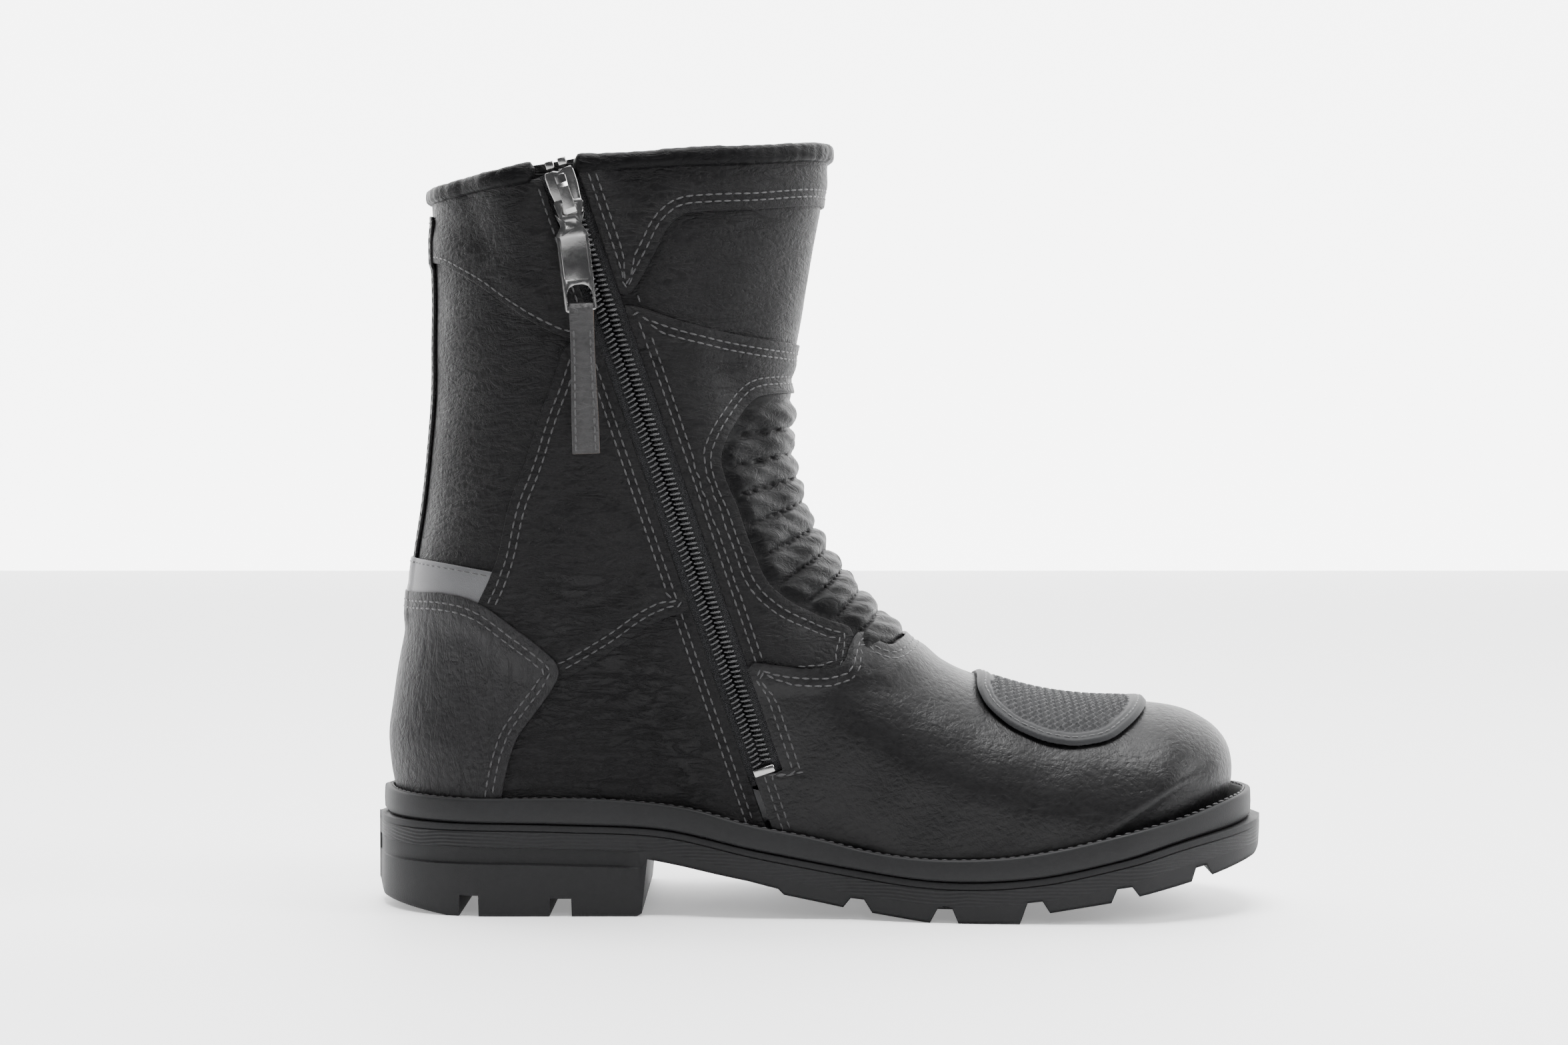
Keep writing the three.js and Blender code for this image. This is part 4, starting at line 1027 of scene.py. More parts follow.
def rolls(points, side, seam):
    """Height of the padded rolls: round between sewn lines, and flat towards the border."""
    x, z = points[..., 0], points[..., 2]
    number = roll_number(x, z)
    share = number % 1
    round_top = np.sqrt(np.maximum(0, 1 - (2 * share - 1) ** 2))
    uneven = 1 + 0.12 * np.sin(x * 0.31 + number * 2.1) + 0.08 * np.sin(points[..., 1] * 0.4 + z)
    return (ROLL_HEIGHT * round_top * uneven - 0.9) * smooth(seam, 1, 5.5)


flex = make_panel("flex", "flex_panel_rolls", "round_front", LEATHER_SMOOTH,
                  ["flex_panel", "flex_padding"], spacing=1.0, rows=(), extra=rolls)

# %% [markdown]
# ## The moulded toe guard
# The guard is a rubber shield sewn over the vamp, where the foot lifts the gear lever. Its rim has
# three fine ridges and its field a zigzag tread. The height of a fine grid carries both.

# %% Toe guard
GUARD_THICK = 2.2
RIDGE_PITCH, ZIGZAG_PITCH, ZIGZAG_PERIOD = 1.35, 2.8, 3.0
GUARD_SPACING = 0.62
s, turn, value = lay_grid(lambda points, side: inside("guard", points, side), "round_front",
                          GUARD_SPACING)
points, side = skin_points(s, turn)
seam = seam_distance(s, turn, value)
step = np.linalg.norm(np.diff(points, axis=1), axis=-1)
across = np.concatenate([np.zeros((len(s), 1)), np.cumsum(step, 1)], 1)
middle_column = abs(turn - np.pi).argmin(1)[0]
across -= across[:, middle_column:middle_column + 1]
ridges = 0.28 * (1 - np.cos(2 * np.pi * (seam - 0.9) / RIDGE_PITCH)) / 2
ridges *= smooth(seam, 0.6, 1.1) * (1 - smooth(seam, 4.7, 5.2))
bend = abs((across / ZIGZAG_PERIOD) % 1 - 0.5) * 2
zigzag = np.cos(2 * np.pi * (points[..., 0] + bend * 1.5) / ZIGZAG_PITCH)
field = 0.42 * np.clip(zigzag * 1.6, -1, 1) * smooth(seam, 6.0, 6.8)
lift = GUARD_THICK + ridges + field - 0.9 * (1 - smooth(seam, 0, 1.0)) - 0.35 * smooth(seam, 5, 6)
guard = thicken(sheet_mesh(s, turn, value, lift), GUARD_THICK - 0.5, 0.25)
finish_mesh(guard, "toe_guard_rubber", "boot", RUBBER_GUARD, ["toe_guard"])
guard_seam = bmesh.new()
stack = np.concatenate([points + skin_normals(s, turn) * (lift[..., None] - 0.1),
                        skin_normals(s, turn), np.ones((*s.shape, 1))], -1)
stitch_rows(guard_seam, contours(2.9, seam, stack), pitch=3.0)
finish_mesh(guard_seam, "toe_guard_stitches", "boot", THREAD_FINISH)

# %% [markdown]
# ## Collar, lining and flap
# The collar ends in a soft roll that wraps leather and lining together. It is a tube that runs
# along the top edge: its cross-section is a rounded square, and slow waves along it give the
# uneven fullness of real padding.

# %% Collar rolls
collar_heights = {"rear": (profile(COLLAR_REAR), profile(PIPING_REAR)),
                  "front": (profile(COLLAR_FRONT), profile(PIPING_FRONT))}
ROLL_OUT, ROLL_IN = 1.6, -6.9


def height_station(turn, height):
    """The station where the skin passes a height that depends on x, for each turn."""
    s = np.linspace(0, 4, 200)
    found = []
    for t in turn:
        points, _ = skin_points(s, np.full_like(s, t))
        gap = points[:, 2] - height(points[:, 0])
        found.append(np.interp(0, -gap, s))
    return np.array(found)


def zip_turn(offset, top, high, low):
    """The turn between low and high where the collar is at a distance from the zip."""
    turns = np.linspace(low, high, 400)
    points, _ = skin_points(height_station(turns, top), turns)
    gap = from_zip(points[:, 0], points[:, 2]) - offset
    return float(np.interp(0, gap, turns) if gap[-1] > gap[0] else np.interp(0, -gap, turns))


def collar_tube(part, start, end):
    """One soft roll along the collar between two turns, closed at both ends."""
    top, bottom = collar_heights[part]
    middle = lambda x: (top(x) + bottom(x)) / 2
    count, ring = 190 if part == "front" else 120, 20
    turn = np.linspace(start, end, count)
    s = height_station(turn, middle)
    place, _ = skin_points(s, turn)
    normal = skin_normals(s, turn)
    normal[:, 2] = 0
    normal /= np.linalg.norm(normal, axis=1, keepdims=True)
    half_tall = (top(place[:, 0]) - bottom(place[:, 0])) / 2 + 0.5
    run = np.r_[0, np.cumsum(np.linalg.norm(np.diff(place, axis=0), axis=1))]
    soft = 1 + 0.035 * np.sin(run * 0.55) * np.sin(run * 0.13 + 1) + 0.02 * np.sin(run * 1.3)
    closing = np.minimum(smooth(run, -1.5, 2), smooth(run[-1] - run, -1.5, 2))
    bm = bmesh.new()
    bmesh.ops.create_grid(bm, x_segments=ring, y_segments=count - 1, size=1)
    mid_out, half_wide = (ROLL_OUT + ROLL_IN) / 2, (ROLL_OUT - ROLL_IN) / 2
    for v in bm.verts:
        a = (v.co.x + 1) * math.pi
        i = round((v.co.y + 1) / 2 * (count - 1))
        c, d = math.cos(a), math.sin(a)
        sharp = (abs(c) ** 3.2 + abs(d) ** 3.2) ** (-1 / 3.2)
        out = mid_out + c * sharp * half_wide * soft[i] * closing[i]
        up = d * sharp * half_tall[i] * soft[i] * closing[i]
        v.co = Vector(place[i] + normal[i] * out) + Vector((0, 0, up))
    bmesh.ops.remove_doubles(bm, verts=bm.verts, dist=0.01)
    rim = [e for e in bm.edges if e.is_boundary]
    bmesh.ops.holes_fill(bm, edges=rim, sides=0)
    bmesh.ops.recalc_face_normals(bm, faces=bm.faces)
    return finish_mesh(bm, f"collar_piping_{part}_roll", "boot", LEATHER_SMOOTH,
                       [f"collar_piping_{part}"])


front_top, rear_top = collar_heights["front"][0], collar_heights["rear"][0]
front_start = zip_turn(6.6, front_top, 3.0, 0.3)
front_end = zip_turn(0.4, front_top, 2 * np.pi - 0.3, 3.3)
rear_start = zip_turn(-0.4, rear_top, 2 * np.pi - 0.3, 3.3) - 2 * np.pi
rear_end = zip_turn(-6.6, rear_top, 3.0, 0.3)
collar_rolls = [collar_tube("front", front_start, front_end),
                collar_tube("rear", rear_start, rear_end)]

# %% Lining and the flap behind the zip
LINING_LIFT, LINING_THICK, LINING_SLOT = -5.2, 0.9, 12.0


def lining_region(points, side):
    """The lining hangs from the roll to the footbed, and leaves the zip's slot open."""
    x, z = points[..., 0], points[..., 2]
    value = np.minimum(distance_inside(PIPING_UNDER, x, z) + 2, z - floor_at(x) - 12)
    value = np.minimum(value, 190 - x)
    return np.minimum(value, np.where(side < 0, abs(from_zip(x, z)) - LINING_SLOT, 99))


s, turn, value = lay_grid(lining_region, "round_front", 2.4)
soft = 0.35 * np.sin(turn * 7 + s) * np.sin(s * 1.7)
lining = thicken(sheet_mesh(s, turn, value, LINING_LIFT + soft), LINING_THICK, 0)
finish_mesh(lining, "lining_fabric_sock", "boot", LINING, ["lining"])


def flap_region(points, side):
    """A strip behind the zip."""
    x, z = points[..., 0], points[..., 2]
    value = np.minimum(17 - abs(from_zip(x, z)), z - 62)
    return np.minimum(value, distance_inside(PIPING_UNDER, x, z) + 5)


s, turn, value = lay_grid(flap_region, "zip_side", 1.8)
flap = thicken(sheet_mesh(s, turn, value, np.full(s.shape, -6.8)), 1.0, 0.3)
finish_mesh(flap, "zip_flap_leather", "boot", LEATHER, ["zip_flap"])

# %% [markdown]
# ## The sole
# The midsole is a cup whose lip stands round the upper, and the cleated outsole hangs under it.
# Both follow the plan of the foot. Rings of the plan are moved out and in and joined as a skin,
# which gives the lip, its rounding and the grooves. The cleats are cut with the side outline.

# %% Plan of the sole
LIP, RIM_CLEAR = 3.5, 0.5


PLAN_COUNT = 80


def sole_plan(lip, rear_x, front_x):
    """The foot's plan with a lip round it, stretched between two ends, and its outward ways."""
    heel_x, toe_x = on_line(REAR, np.array([10.0]))[0, 0], on_line(FRONT, np.array([24.0]))[0, 0]
    share = (1 - np.cos(np.pi * (np.arange(PLAN_COUNT) + 0.5) / PLAN_COUNT)) / 2
    x = heel_x + (toe_x - heel_x) * share
    near = np.stack([x, wall_y(x, rim_top(x) + 4, -1)], -1)
    far = np.stack([x, wall_y(x, rim_top(x) + 4, 1)], -1)
    ring = np.vstack([[[heel_x, 0]], near, [[toe_x, middle_line(toe_x)]], far[::-1]])
    for _ in range(3):
        ring = 0.5 * ring + 0.25 * (np.roll(ring, 1, 0) + np.roll(ring, -1, 0))
    along = np.roll(ring, -1, 0) - np.roll(ring, 1, 0)
    out = np.stack([along[:, 1], -along[:, 0]], -1)
    out /= np.linalg.norm(out, axis=1, keepdims=True)
    grown = ring + out * lip
    low, high = grown[:, 0].min(), grown[:, 0].max()
    grown[:, 0] = rear_x + (grown[:, 0] - low) * (front_x - rear_x) / (high - low)
    return grown, out


# %% The cup of the midsole
def ring_skin(plan, out, rows):
    """A closed skin over rings. Each row gives how far it lies out and its height at x."""
    count = len(plan)
    bm = bmesh.new()
    bmesh.ops.create_grid(bm, x_segments=count, y_segments=len(rows) - 1, size=1)
    for v in bm.verts:
        i = round((v.co.x + 1) / 2 * count) % count
        offset, height = rows[round((v.co.y + 1) / 2 * (len(rows) - 1))]
        x, y = plan[i]
        x, y = x + out[i, 0] * offset, y + out[i, 1] * offset
        v.co = Vector((x, y, float(height(x))))
    bmesh.ops.remove_doubles(bm, verts=bm.verts, dist=0.004)
    caps = bmesh.ops.holes_fill(bm, edges=[e for e in bm.edges if e.is_boundary], sides=0)
    bmesh.ops.triangulate(bm, faces=caps["faces"], ngon_method="BEAUTY")
    bmesh.ops.recalc_face_normals(bm, faces=bm.faces)
    return bm


def level(line, drop):
    """A line at a fixed height over another."""
    return lambda x: line(x) + drop


rim_plan, rim_out = sole_plan(LIP, -41, 263.5)
inner = RIM_CLEAR - LIP
rim_rows = [(inner, level(floor_at, 0)), (inner, level(floor_at, 1)),
            (inner, level(rim_top, -1.2)), (inner + 0.35, level(rim_top, -0.5)),
            (inner + 0.9, level(rim_top, -0.35)), (inner + 1.2, level(rim_top, -0.05)),
            (-1.1, level(rim_top, 0)), (-0.5, level(rim_top, -0.2)),
            (-0.12, level(rim_top, -0.65)), (0, level(rim_top, -1.4)),
            (0.1, lambda x: (rim_top(x) + rim_bottom(x)) / 2), (0, level(rim_bottom, 1.1)),
            (-0.15, level(rim_bottom, 0.75)), (-0.55, level(rim_bottom, 0.45)),
            (-0.8, level(rim_bottom, 0.02))]
finish_mesh(ring_skin(rim_plan, rim_out, rim_rows), "midsole_rim", "boot", RUBBER,
            ["midsole"])

welt = bmesh.new()
ring3 = np.column_stack([rim_plan + rim_out * (inner + 0.62), rim_top(rim_plan[:, 0]) - 0.25])
chain = np.column_stack([ring3, np.tile([0, 0, 1], (len(ring3), 1)), np.ones(len(ring3))])
stitch_rows(welt, [np.vstack([chain, chain[:1]])], pitch=3.3)
finish_mesh(welt, "welt_stitches", "boot", THREAD_FINISH)

# %% Outsole with cleats
FOOT = np.array([[-43, 8], [-42, 5.4], [-40, 3.6], [-15, 0], [-10.7, 0], [-10.5, 7], [-4.1, 7],
                [-3.9, 0], [20.2, 0], [20.4, 6], [27.6, 6], [27.8, 0], [50, 0], [51.6, 1],
                [53.5, 19.6], [66, 17.3], [77, 15.1], [88, 13], [98, 10.4], [100, 8.4],
                [120, 4.2], [122.5, 7.4], [127, 7], [129.8, 2.6], [149, 0], [151.5, 4.8],
                [156.5, 4.8], [158.5, 0], [179, 0], [181.5, 7.2], [186.5, 7.8], [189, 3.9],
                [209.5, 7.3], [211.5, 12], [216.5, 12.6], [219, 9.4], [237.5, 13.2],
                [239, 17.8], [243, 18.6], [245, 15], [262, 19.4], [265, 22], [267, 26]])
CLEAT_X = [-10.7, -10.5, -4.1, -3.9, 20.2, 20.4, 27.6, 27.8, 50, 51.6, 53.5, 98, 100, 120, 122.5,
           127, 129.8, 149, 151.5, 156.5, 158.5, 179, 181.5, 186.5, 189, 209.5, 211.5, 216.5, 219,
           237.5, 239, 243, 245]
sole_rings, _ = sole_plan(LIP, -43, 267)
half_count = len(sole_rings) // 2
near_edge, far_edge = sole_rings[:half_count + 1], sole_rings[half_count:][::-1]
even = (1 - np.cos(np.pi * np.linspace(0, 1, 130))) / 2
sole_x = np.sort(np.r_[-42.9 + 309.8 * even, CLEAT_X])


def edge_y(edge, x):
    """Y of one edge of the sole, drawn in to the middle at both ends."""
    order = np.argsort(edge[:, 0])
    y = np.interp(x, edge[order, 0], edge[order, 1])
    ends = quarter((x + 43) / 4) * quarter((267 - x) / 4)
    middle = middle_line(x)
    return middle + (y - middle) * ends


def sole_section(x):
    """The outline of a cross-section, from the top on the zip's side round to the other."""
    low, high = float(edge_y(near_edge, x)), float(edge_y(far_edge, x))
    foot = float(np.interp(x, *FOOT.T))
    rim = float(rim_bottom(x))
    step = 1.3 * float(1 - smooth(np.array(float(x)), 44, 54))
    rows = [(1.2, rim - 0.3), (0.5, rim - 0.5), (0.3, rim - 0.9), (0.3, rim - 2.4),
            (0.7, rim - 2.7), (0.3, rim - 3.0), (0.3, rim - 8.2), (0.3 + step, rim - 8.5),
            (0.3 + step, rim - 13.8), (0.3, rim - 14.2), (0.3, foot + 0.7), (0.45, foot + 0.25),
            (0.9, foot), (6, foot)]
    left = [(low + inset, max(z, foot)) for inset, z in rows]
    right = [(high - inset, max(z, foot)) for inset, z in rows]
    middle = (low + high) / 2
    return ([(min(y, middle), z) for y, z in left]
            + [(max(y, middle), z) for y, z in right[::-1]])


sections = [sole_section(x) for x in sole_x]
around = len(sections[0])
outsole = bmesh.new()
bmesh.ops.create_grid(outsole, x_segments=len(sole_x) - 1, y_segments=around, size=1)
for v in outsole.verts:
    i = round((v.co.x + 1) / 2 * (len(sole_x) - 1))
    y, z = sections[i][round((v.co.y + 1) / 2 * around) % around]
    v.co = Vector((sole_x[i], y, z))
bmesh.ops.remove_doubles(outsole, verts=outsole.verts, dist=0.01)
bmesh.ops.holes_fill(outsole, edges=[e for e in outsole.edges if e.is_boundary], sides=0)
bmesh.ops.recalc_face_normals(outsole, faces=outsole.faces)
for face in outsole.faces:
    centre = face.calc_center_median()
    drop = float(rim_bottom(centre.x)) - centre.z
    if 3.0 < drop < 8.3 and abs(face.normal.z) < 0.5:
        face.material_index = 1
outsole_piece = finish_mesh(outsole, "outsole_cleated", "boot", RUBBER, ["outsole"])
outsole_piece.data.set_sharp_from_angle(angle=0.6)
outsole_piece.data.materials.append(RUBBER_BAND)


# %% [markdown]
# ## Hard small parts
# Castings and stampings are drawn as outlines, pushed to a solid, cut by other solids and rounded
# at every sharp edge. A cutter could also be an inset face, but holes with rounded corners come
# out cleaner from a boolean, so the next helpers do just that.

# %% Shapes cut from other shapes
def scratch_object(bm, name):
    """A passing object, because modifiers work on objects only."""
    mesh = bpy.data.meshes.new(name)
    bm.to_mesh(mesh)
    bm.free()
    made = bpy.data.objects.new(name, mesh)
    bpy.context.scene.collection.objects.link(made)
    return made


def boolean(bm, others, operation):
    """The bmesh joined with, or cut by, other bmeshes."""
    body = scratch_object(bm, "scratch_body")
    tools = [scratch_object(other, "scratch_tool") for other in others]
    for tool in tools:
        cut = body.modifiers.new("cut", "BOOLEAN")
        cut.operation, cut.object, cut.solver = operation, tool, "EXACT"
    evaluated = body.evaluated_get(bpy.context.evaluated_depsgraph_get())
    result = bmesh.new()
    result.from_mesh(evaluated.to_mesh())
    for made in (body, *tools):
        bpy.data.objects.remove(made)
    return result


def soften(bm, radius, segments=2, angle=0.6):
    """Rounds the sharp edges of a hard shape."""
    bmesh.ops.remove_doubles(bm, verts=bm.verts, dist=0.01)
    bmesh.ops.dissolve_limit(bm, angle_limit=0.02, verts=bm.verts, edges=bm.edges)
    bm.normal_update()
    sharp = [e for e in bm.edges if len(e.link_faces) == 2 and e.calc_face_angle() > angle]
    bmesh.ops.bevel(bm, geom=sharp, offset=radius, segments=segments, profile=0.5,
                    affect="EDGES", material=-1, offset_type="OFFSET", clamp_overlap=True)
    return bm



# %% [markdown]
# The footbed is a loose foam sole with a fabric face. Only its rim can be seen from above. A grid
# over the plan of the foot, raised round the heel, is enough.

# %% Footbed inside the boot
def footbed_mesh():
    """A cushion that follows the floor and rises a little round the heel."""
    bm = bmesh.new()
    across, along = 24, 90
    bmesh.ops.create_grid(bm, x_segments=along, y_segments=across, size=1)
    xs = np.linspace(-31, 240, along + 1)
    z_wall = floor_at(xs) + 7
    low = wall_y(xs, z_wall, -1) + 8.2
    high = wall_y(xs, z_wall, 1) - 8.2
    for v in bm.verts:
        i = round((v.co.x + 1) / 2 * along)
        share = (v.co.y + 1) / 2
        y = low[i] + (high[i] - low[i]) * share
        x = xs[i]
        cup = 1.6 * (2 * share - 1) ** 4 * float(1 - smooth(np.array(x), 40, 120))
        v.co = Vector((x, y, float(floor_at(x)) + 6.9 + cup))
    bmesh.ops.recalc_face_normals(bm, faces=bm.faces)
    bm.normal_update()
    if next(iter(bm.faces)).normal.z < 0:
        bmesh.ops.reverse_faces(bm, faces=bm.faces)
    return thicken(bm, 3.6, 0.7)


finish_mesh(footbed_mesh(), "footbed_liner", "boot", LINING, ["footbed"])

# %% [markdown]
# ## The zip
# A coil zip is a flattened spring of nylon sewn along each tape. Every turn of the spring is
# one small ring here, lying slantwise, and the two rows mesh in the middle. The chain sits in the
# zip's own frame: X across to the toe, Y into the boot and Z up along the zip.

# %% Coils
COIL_PITCH = 1.76
CHAIN_TOP, CHAIN_END = 8.7, -203.9


def coil_ring():
    """One turn of the coil: a slim ring drawn out sideways, with its hole towards the tape."""
    bm = bmesh.new()
    bmesh.ops.create_circle(bm, segments=6, radius=0.43,
                            matrix=Matrix.Translation((1, 0, 0)) @ Matrix.Rotation(
                                math.pi / 2, 4, "X"))
    bmesh.ops.spin(bm, geom=bm.verts[:] + bm.edges[:], cent=(0, 0, 0), axis=(0, 0, 1),
                   angle=2 * math.pi, steps=10, use_merge=True)
    bmesh.ops.remove_doubles(bm, verts=bm.verts, dist=0.001)
    bmesh.ops.rotate(bm, verts=bm.verts, matrix=Matrix.Rotation(math.pi / 2, 3, "X"))
    for v in bm.verts:
        away = math.hypot(v.co.x, v.co.z)
        v.co.x += math.copysign(0.62, v.co.x) * min(1, abs(v.co.x) / 0.5)
        v.co.z *= 0.92 if away else 1
    bmesh.ops.rotate(bm, verts=bm.verts, matrix=Matrix.Rotation(math.pi / 2, 3, "X"))
    bmesh.ops.recalc_face_normals(bm, faces=bm.faces)
    mesh = bpy.data.meshes.new("coil_ring")
    bm.to_mesh(mesh)
    bm.free()
    return mesh


RING = coil_ring()
for part, sign in (("front", 1), ("rear", -1)):
    coil = bmesh.new()
    heights = np.arange(CHAIN_END + 1 + (0.5 * COIL_PITCH if sign > 0 else 0), CHAIN_TOP - 0.6,
                        COIL_PITCH)
    scatter(coil, RING, [ZIP_FRAME @ Matrix.Translation((sign * 1.78, 0.55, h))
                         @ Matrix.Rotation(sign * 0.2, 4, "Y") for h in heights])
    finish_mesh(coil, f"zip_coil_{part}_rings", "boot", COIL, [f"zip_coil_{part}"])

# %% [markdown]
# The slider is two shaped plates with a flange on each side and a web between them. The coils pass
# through the gap. It could be one casting with pockets, but a slider's parts are flat, so each is
# an outline with a thickness, and they are joined in one mesh.

# %% Slider
def prism(outline, y0, y1, round_corners=0.0, segments=3):
    """A solid with an outline of x, z points, from y0 to y1."""
    bm = bmesh.new()
    corners = [bm.verts.new((x, y0, z)) for x, z in outline]
    face = bmesh.ops.contextual_create(bm, geom=corners)["faces"][0]
    pushed = bmesh.ops.extrude_face_region(bm, geom=[face])["geom"]
    bmesh.ops.translate(bm, vec=(0, y1 - y0, 0),
                        verts=[g for g in pushed if isinstance(g, bmesh.types.BMVert)])
    bmesh.ops.recalc_face_normals(bm, faces=bm.faces)
    if round_corners:
        upright = [e for e in bm.edges if abs((e.verts[0].co - e.verts[1].co).y) > 0.5 * (y1 - y0)]
        bmesh.ops.bevel(bm, geom=upright, offset=round_corners, segments=segments, profile=0.5,
                        affect="EDGES", material=-1, clamp_overlap=True)
    return bm


def merged(*meshes):
    """Several bmeshes in one."""
    result = bmesh.new()
    for bm in meshes:
        mesh = bpy.data.meshes.new("part")
        bm.to_mesh(mesh)
        bm.free()
        result.from_mesh(mesh)
        bpy.data.meshes.remove(mesh)
    return result


shield = [[-4.6, 8], [-1.6, 8], [0, 7.2], [1.6, 8], [4.6, 8], [5.1, 6.6], [5.0, 2], [4.3, -4],
          [3.9, -7.4], [3.2, -8], [-3.2, -8], [-3.9, -7.4], [-4.3, -4], [-5.0, 2], [-5.1, 6.6]]
front_plate = soften(prism(shield, -2.4, -1.1, 0.9), 0.4, 3)
ridge = soften(prism([[-1.9, 6.4], [1.9, 6.4], [1.5, -7], [-1.5, -7]], -2.75, -2.0, 0.8), 0.3, 3)
flanges = [soften(prism([[sign * 5.05, 6.4], [sign * 4.05, 6.6], [sign * 4.0, -4],
                         [sign * 4.3, -4]], -1.5, 2.0, 0.2), 0.15, 1) for sign in (1, -1)]
back_plate = soften(prism(shield, 3.8, 5.1, 0.9), 0.3, 2)
web = soften(prism([[-0.4, 7], [0.4, 7], [0.3, -1], [-0.3, -1]], -1.6, 4.2), 0.1, 1)
slider = merged(front_plate, ridge, *flanges, back_plate, web)
bmesh.ops.transform(slider, matrix=ZIP_FRAME, verts=slider.verts)
finish_mesh(slider, "zip_slider_polished", "slider", METAL, ["zip_slider"])


def cad_copy(node):
    """A merged copy of a frame piece, in millimetres."""
    bm = bmesh.new()
    bm.from_mesh(frame["nodes"][node].data)
    bmesh.ops.scale(bm, vec=(1 / MM,) * 3, verts=bm.verts)
    bmesh.ops.remove_doubles(bm, verts=bm.verts, dist=0.003)
    return bm


finish_mesh(soften(cad_copy("slider_bridge"), 0.4, 3), "slider_bridge_polished", "slider",
            METAL, ["slider_bridge"])
for node in ("zip_top_stop_front", "zip_top_stop_rear", "zip_bottom_stop"):
    finish_mesh(soften(cad_copy(node), 0.35, 2), node + "_bright", "boot", METAL,
                [node])

# %% Places of the pull tab and strap
joints = {joint["name"]: joint for joint in frame["joints"]}
STAND_OUT = math.radians(3)


def hang_frame(joint, lean):
    """The place of a hanging piece: its hinge at the origin and its length down Z."""
    place = Vector(joints[joint]["pos_m"]) / MM
    return (Matrix.Translation(place) @ Matrix.Rotation(-lean, 4, "Y")
            @ Matrix.Rotation(-STAND_OUT, 4, "X"))


axis = joints["pull_tab_hinge"]["axis"]
TAB_LEAN = math.atan2(-axis[2], -axis[0])
STRAP_LEAN = TAB_LEAN - math.radians(5)
print("tab leans", round(math.degrees(TAB_LEAN), 2), "degrees")

# %% [markdown]
# The pull tab is a polished casting: a ring for the bridge, a neck, and a plate with a raised
# border round a plain field, then an arched window whose bar carries the strap. A plate is cut with
# rounded holes, and all its edges are softened.

# %% Pull tab
TAB_FOOT = -36.8
tab_half = 0.7


def mirrored(points):
    """A closed outline from its right half."""
    return [*points, *[[-x, z] for x, z in reversed(points)]]


tab_outline = mirrored([[4.2, 0.7], [5, -0.2], [5, -3.6], [3.5, -5.6], [3.5, -8], [5.3, -11],
                        [5.3, TAB_FOOT + 0.8], [4.6, TAB_FOOT]])
ring_hole = prism(mirrored([[2.6, -0.7], [2.6, -4.6]]), -3, 3, 0.9)
window = prism(mirrored([[4.3, TAB_FOOT + 1.8], [4.3, TAB_FOOT + 6.2], [3.2, TAB_FOOT + 8.2],
                         [1.4, TAB_FOOT + 9]]), -3, 3, 0.5)
pocket_front = prism(mirrored([[4.3, -11.6], [4.3, TAB_FOOT + 10.6]]), -2, -0.42, 0.8)
pocket_back = prism(mirrored([[4.3, -11.6], [4.3, TAB_FOOT + 10.6]]), 0.42, 2, 0.8)
neck_slot = prism(mirrored([[1.9, -6.3], [1.9, -8.6]]), -2, -0.42, 0.5)
tab = boolean(prism(tab_outline, -tab_half, tab_half, 0.5),
              [ring_hole, window, pocket_front, pocket_back, neck_slot], "DIFFERENCE")
soften(tab, 0.14, 2, 0.8)
bmesh.ops.transform(tab, matrix=hang_frame("pull_tab_hinge", TAB_LEAN), verts=tab.verts)
finish_mesh(tab, "pull_tab_polished", "pull_tab", METAL, ["pull_tab"])

# %% [markdown]
# The strap is one strip of thick leather, folded round the bar and sewn to itself. A grid bent
# along its path gives the fold, and the cut sides show raw brown leather.

# %% Strap
STRAP_LENGTH, SKIN = 51.0, 1.2


def strap_path(count):
    """Middle line of the strip, as z and y: up the front, round the bar, down the back."""
    loop = 1.75
    bottom = 2.8 - STRAP_LENGTH
    key = [[bottom, -0.66], [-30, -0.68], [-12, -0.72], [-6, -0.95], [-2.6, -1.6],
           [-0.4, -loop], [1.2, -1.3], [loop + 0.25, 0], [1.2, 1.3], [-0.4, loop],
           [-2.6, 1.6], [-6, 0.95], [-12, 0.72], [-30, 0.68], [bottom, 0.66]]
    line = spline(key, 12)
    run = np.r_[0, np.cumsum(np.linalg.norm(np.diff(line, axis=0), axis=1))]
    at = np.linspace(0, run[-1], count)
    return np.stack([np.interp(at, run, line[:, k]) for k in (0, 1)], -1)


def strap_widening(z):
    """The strap grows wider towards its free end, here from 0 to 1."""
    return float(smooth(np.array(-z), 12, 44))


path = strap_path(120)
strap = bmesh.new()
bmesh.ops.create_grid(strap, x_segments=len(path) - 1, y_segments=8, size=1)
for v in strap.verts:
    z, y = path[round((v.co.x + 1) / 2 * (len(path) - 1))]
    half = 4.0 + 0.55 * strap_widening(z)
    cup = 0.12 * (1 - v.co.y**2) * (1 if y > 0 else -1)
    v.co = Vector((v.co.y * half, y + cup, z))
bmesh.ops.recalc_face_normals(strap, faces=strap.faces)
strap.normal_update()
sample = max(strap.faces, key=lambda f: -f.calc_center_median().y)
if sample.normal.y > 0:
    bmesh.ops.reverse_faces(strap, faces=strap.faces)
bmesh.ops.solidify(strap, geom=strap.faces[:], thickness=SKIN / 2)
strap.normal_update()
for face in strap.faces:
    if abs(face.normal.x) > 0.6 or face.normal.z < -0.8:
        face.material_index = 1
sharp = [e for e in strap.edges if len(e.link_faces) == 2 and e.calc_face_angle() > 0.9]
bmesh.ops.bevel(strap, geom=sharp, offset=0.16, segments=1, profile=0.5, affect="EDGES",
                material=-1, clamp_overlap=True)
strap_frame = hang_frame("pull_strap_hinge", STRAP_LEAN)
bmesh.ops.transform(strap, matrix=strap_frame, verts=strap.verts)
strap_piece = finish_mesh(strap, "pull_strap_leather", "pull_strap",
                          LEATHER_STRAP, ["pull_strap"])
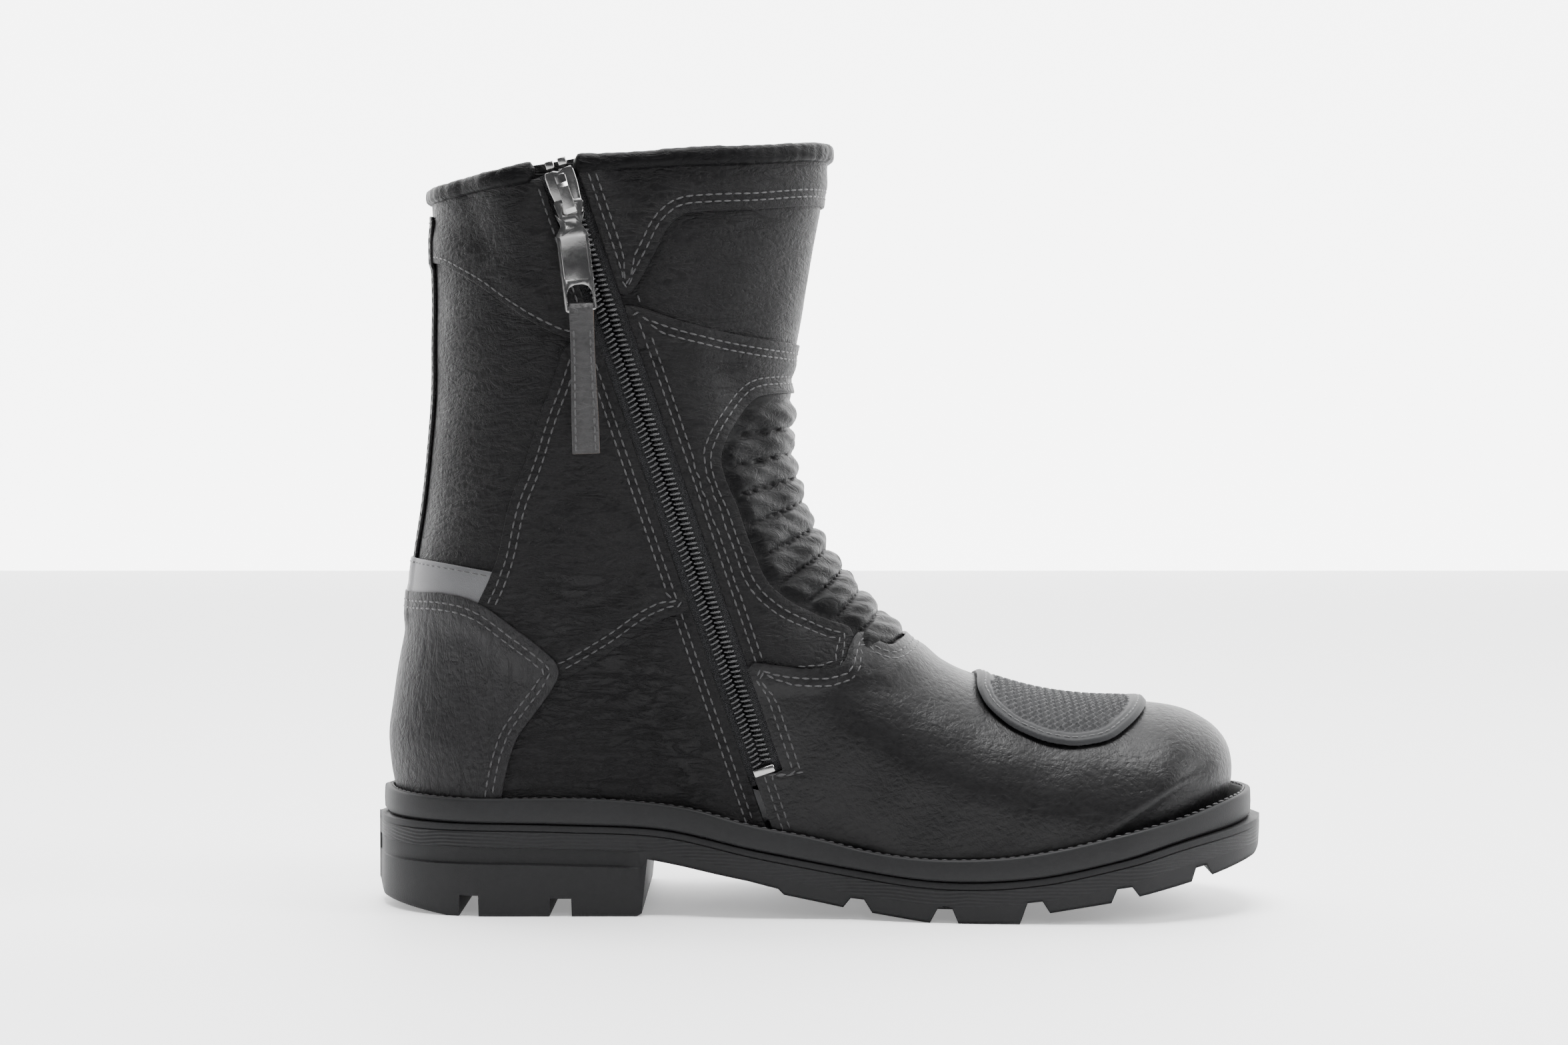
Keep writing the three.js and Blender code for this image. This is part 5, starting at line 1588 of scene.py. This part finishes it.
strap_piece.data.materials.append(RAW_EDGE)

# %% Stitches of the strap
strap_seam = bmesh.new()
for face_side in (-1, 1):
    lie = Matrix.Rotation(math.pi / 2, 4, "Y") @ Matrix.Rotation(face_side * math.pi / 2, 4, "X")
    lie = lie @ Matrix.Diagonal((0.78, 0.8, 0.8, 1))
    for x_sign in (-1, 1):
        for h in np.arange(-46.2, -7, 2.9):
            seat = (x_sign * (2.7 + 0.5 * strap_widening(h)), face_side * 1.36, h)
            scatter(strap_seam, STITCH, [strap_frame @ Matrix.Translation(seat) @ lie])
finish_mesh(strap_seam, "pull_strap_stitches", "pull_strap", THREAD_FINISH)

# %% [markdown]
# ## The pieces that stay as they are
# The tapes lie flat behind the leather, and shank, board, counter and toe puff are hidden inside.
# Their plain shapes are right, so only their finish is set.

# %% Finishes on the frame's own pieces
CAD_FINISHES = {"zip_tape_front": TAPE, "zip_tape_rear": TAPE, "shank": METAL,
                "insole_board": LINING, "heel_counter": LINING, "toe_puff": LINING}
for node, finish in CAD_FINISHES.items():
    slots = frame["nodes"][node].data.materials
    slots.clear()
    slots.append(finish)

# %% [markdown]
# ## Camera, floor and light
# The camera stands a metre from the zip's side and looks slightly down. The floor and backdrop are
# plain and pale. A wide light above draws the highlights on toe and guard, and two side lights
# draw the edges, while the light in front only opens the shadows.

# %% Camera, floor and light
scene = bpy.context.scene
camera_data = bpy.data.cameras.new("camera")
camera = bpy.data.objects.new("camera", camera_data)
scene.collection.objects.link(camera)
camera_data.lens = 65.2
camera.location = (0.100, -1.0, 0.1684)
camera.rotation_euler = (math.radians(90 - 2.04), 0, 0)
scene.camera = camera

floor_mesh = bmesh.new()
bmesh.ops.create_grid(floor_mesh, x_segments=1, y_segments=1, size=6)
floor_data = bpy.data.meshes.new("floor")
floor_mesh.to_mesh(floor_data)
floor_mesh.free()
floor = bpy.data.objects.new("floor", floor_data)
scene.collection.objects.link(floor)
floor_finish = Finish("plain pale floor", Base_Color=(0.88, 0.88, 0.885, 1), Roughness=0.6,
                      Emission_Color=(1, 1, 1, 1), Emission_Strength=0.3)
floor_data.materials.append(floor_finish.material)

world = bpy.data.worlds.new("studio")
world.use_nodes = True
world.node_tree.nodes["Background"].inputs[0].default_value = (0.93, 0.95, 1.0, 1)
world.node_tree.nodes["Background"].inputs[1].default_value = 0.12
scene.world = world


def soft_light(name, place, target, size, power):
    """A rectangular light that faces a target."""
    data = bpy.data.lights.new(name, "AREA")
    data.shape = "RECTANGLE"
    data.size, data.size_y = size
    data.energy = power
    light = bpy.data.objects.new(name, data)
    scene.collection.objects.link(light)
    light.location = place
    light.rotation_euler = (Vector(target) - Vector(place)).to_track_quat("-Z", "Y").to_euler()


soft_light("top", (0.12, -0.1, 1.5), (0.12, 0, 0.1), (0.9, 0.7), 50)
soft_light("left", (-1.4, -0.8, 0.6), (0.0, 0, 0.12), (0.5, 0.9), 6)
soft_light("right", (1.5, -0.35, 0.9), (0.2, 0, 0.08), (0.5, 0.8), 26)
soft_light("front", (0.3, -2.0, 1.6), (0.1, 0, 0.08), (0.8, 0.5), 9)

# %% White backdrop
backdrop_mesh = bmesh.new()
bmesh.ops.create_grid(backdrop_mesh, x_segments=1, y_segments=1, size=6)
bmesh.ops.rotate(backdrop_mesh, verts=backdrop_mesh.verts,
                 matrix=Matrix.Rotation(math.pi / 2, 3, "X"))
bmesh.ops.translate(backdrop_mesh, verts=backdrop_mesh.verts, vec=(0, 2.2, 0))
backdrop_data = bpy.data.meshes.new("backdrop")
backdrop_mesh.to_mesh(backdrop_data)
backdrop_mesh.free()
backdrop = bpy.data.objects.new("backdrop", backdrop_data)
scene.collection.objects.link(backdrop)
backdrop_finish = Finish("white backdrop", Base_Color=(0.9, 0.9, 0.9, 1), Roughness=1.0,
                         Emission_Color=(1, 1, 1, 1), Emission_Strength=5.0)
backdrop_data.materials.append(backdrop_finish.material)
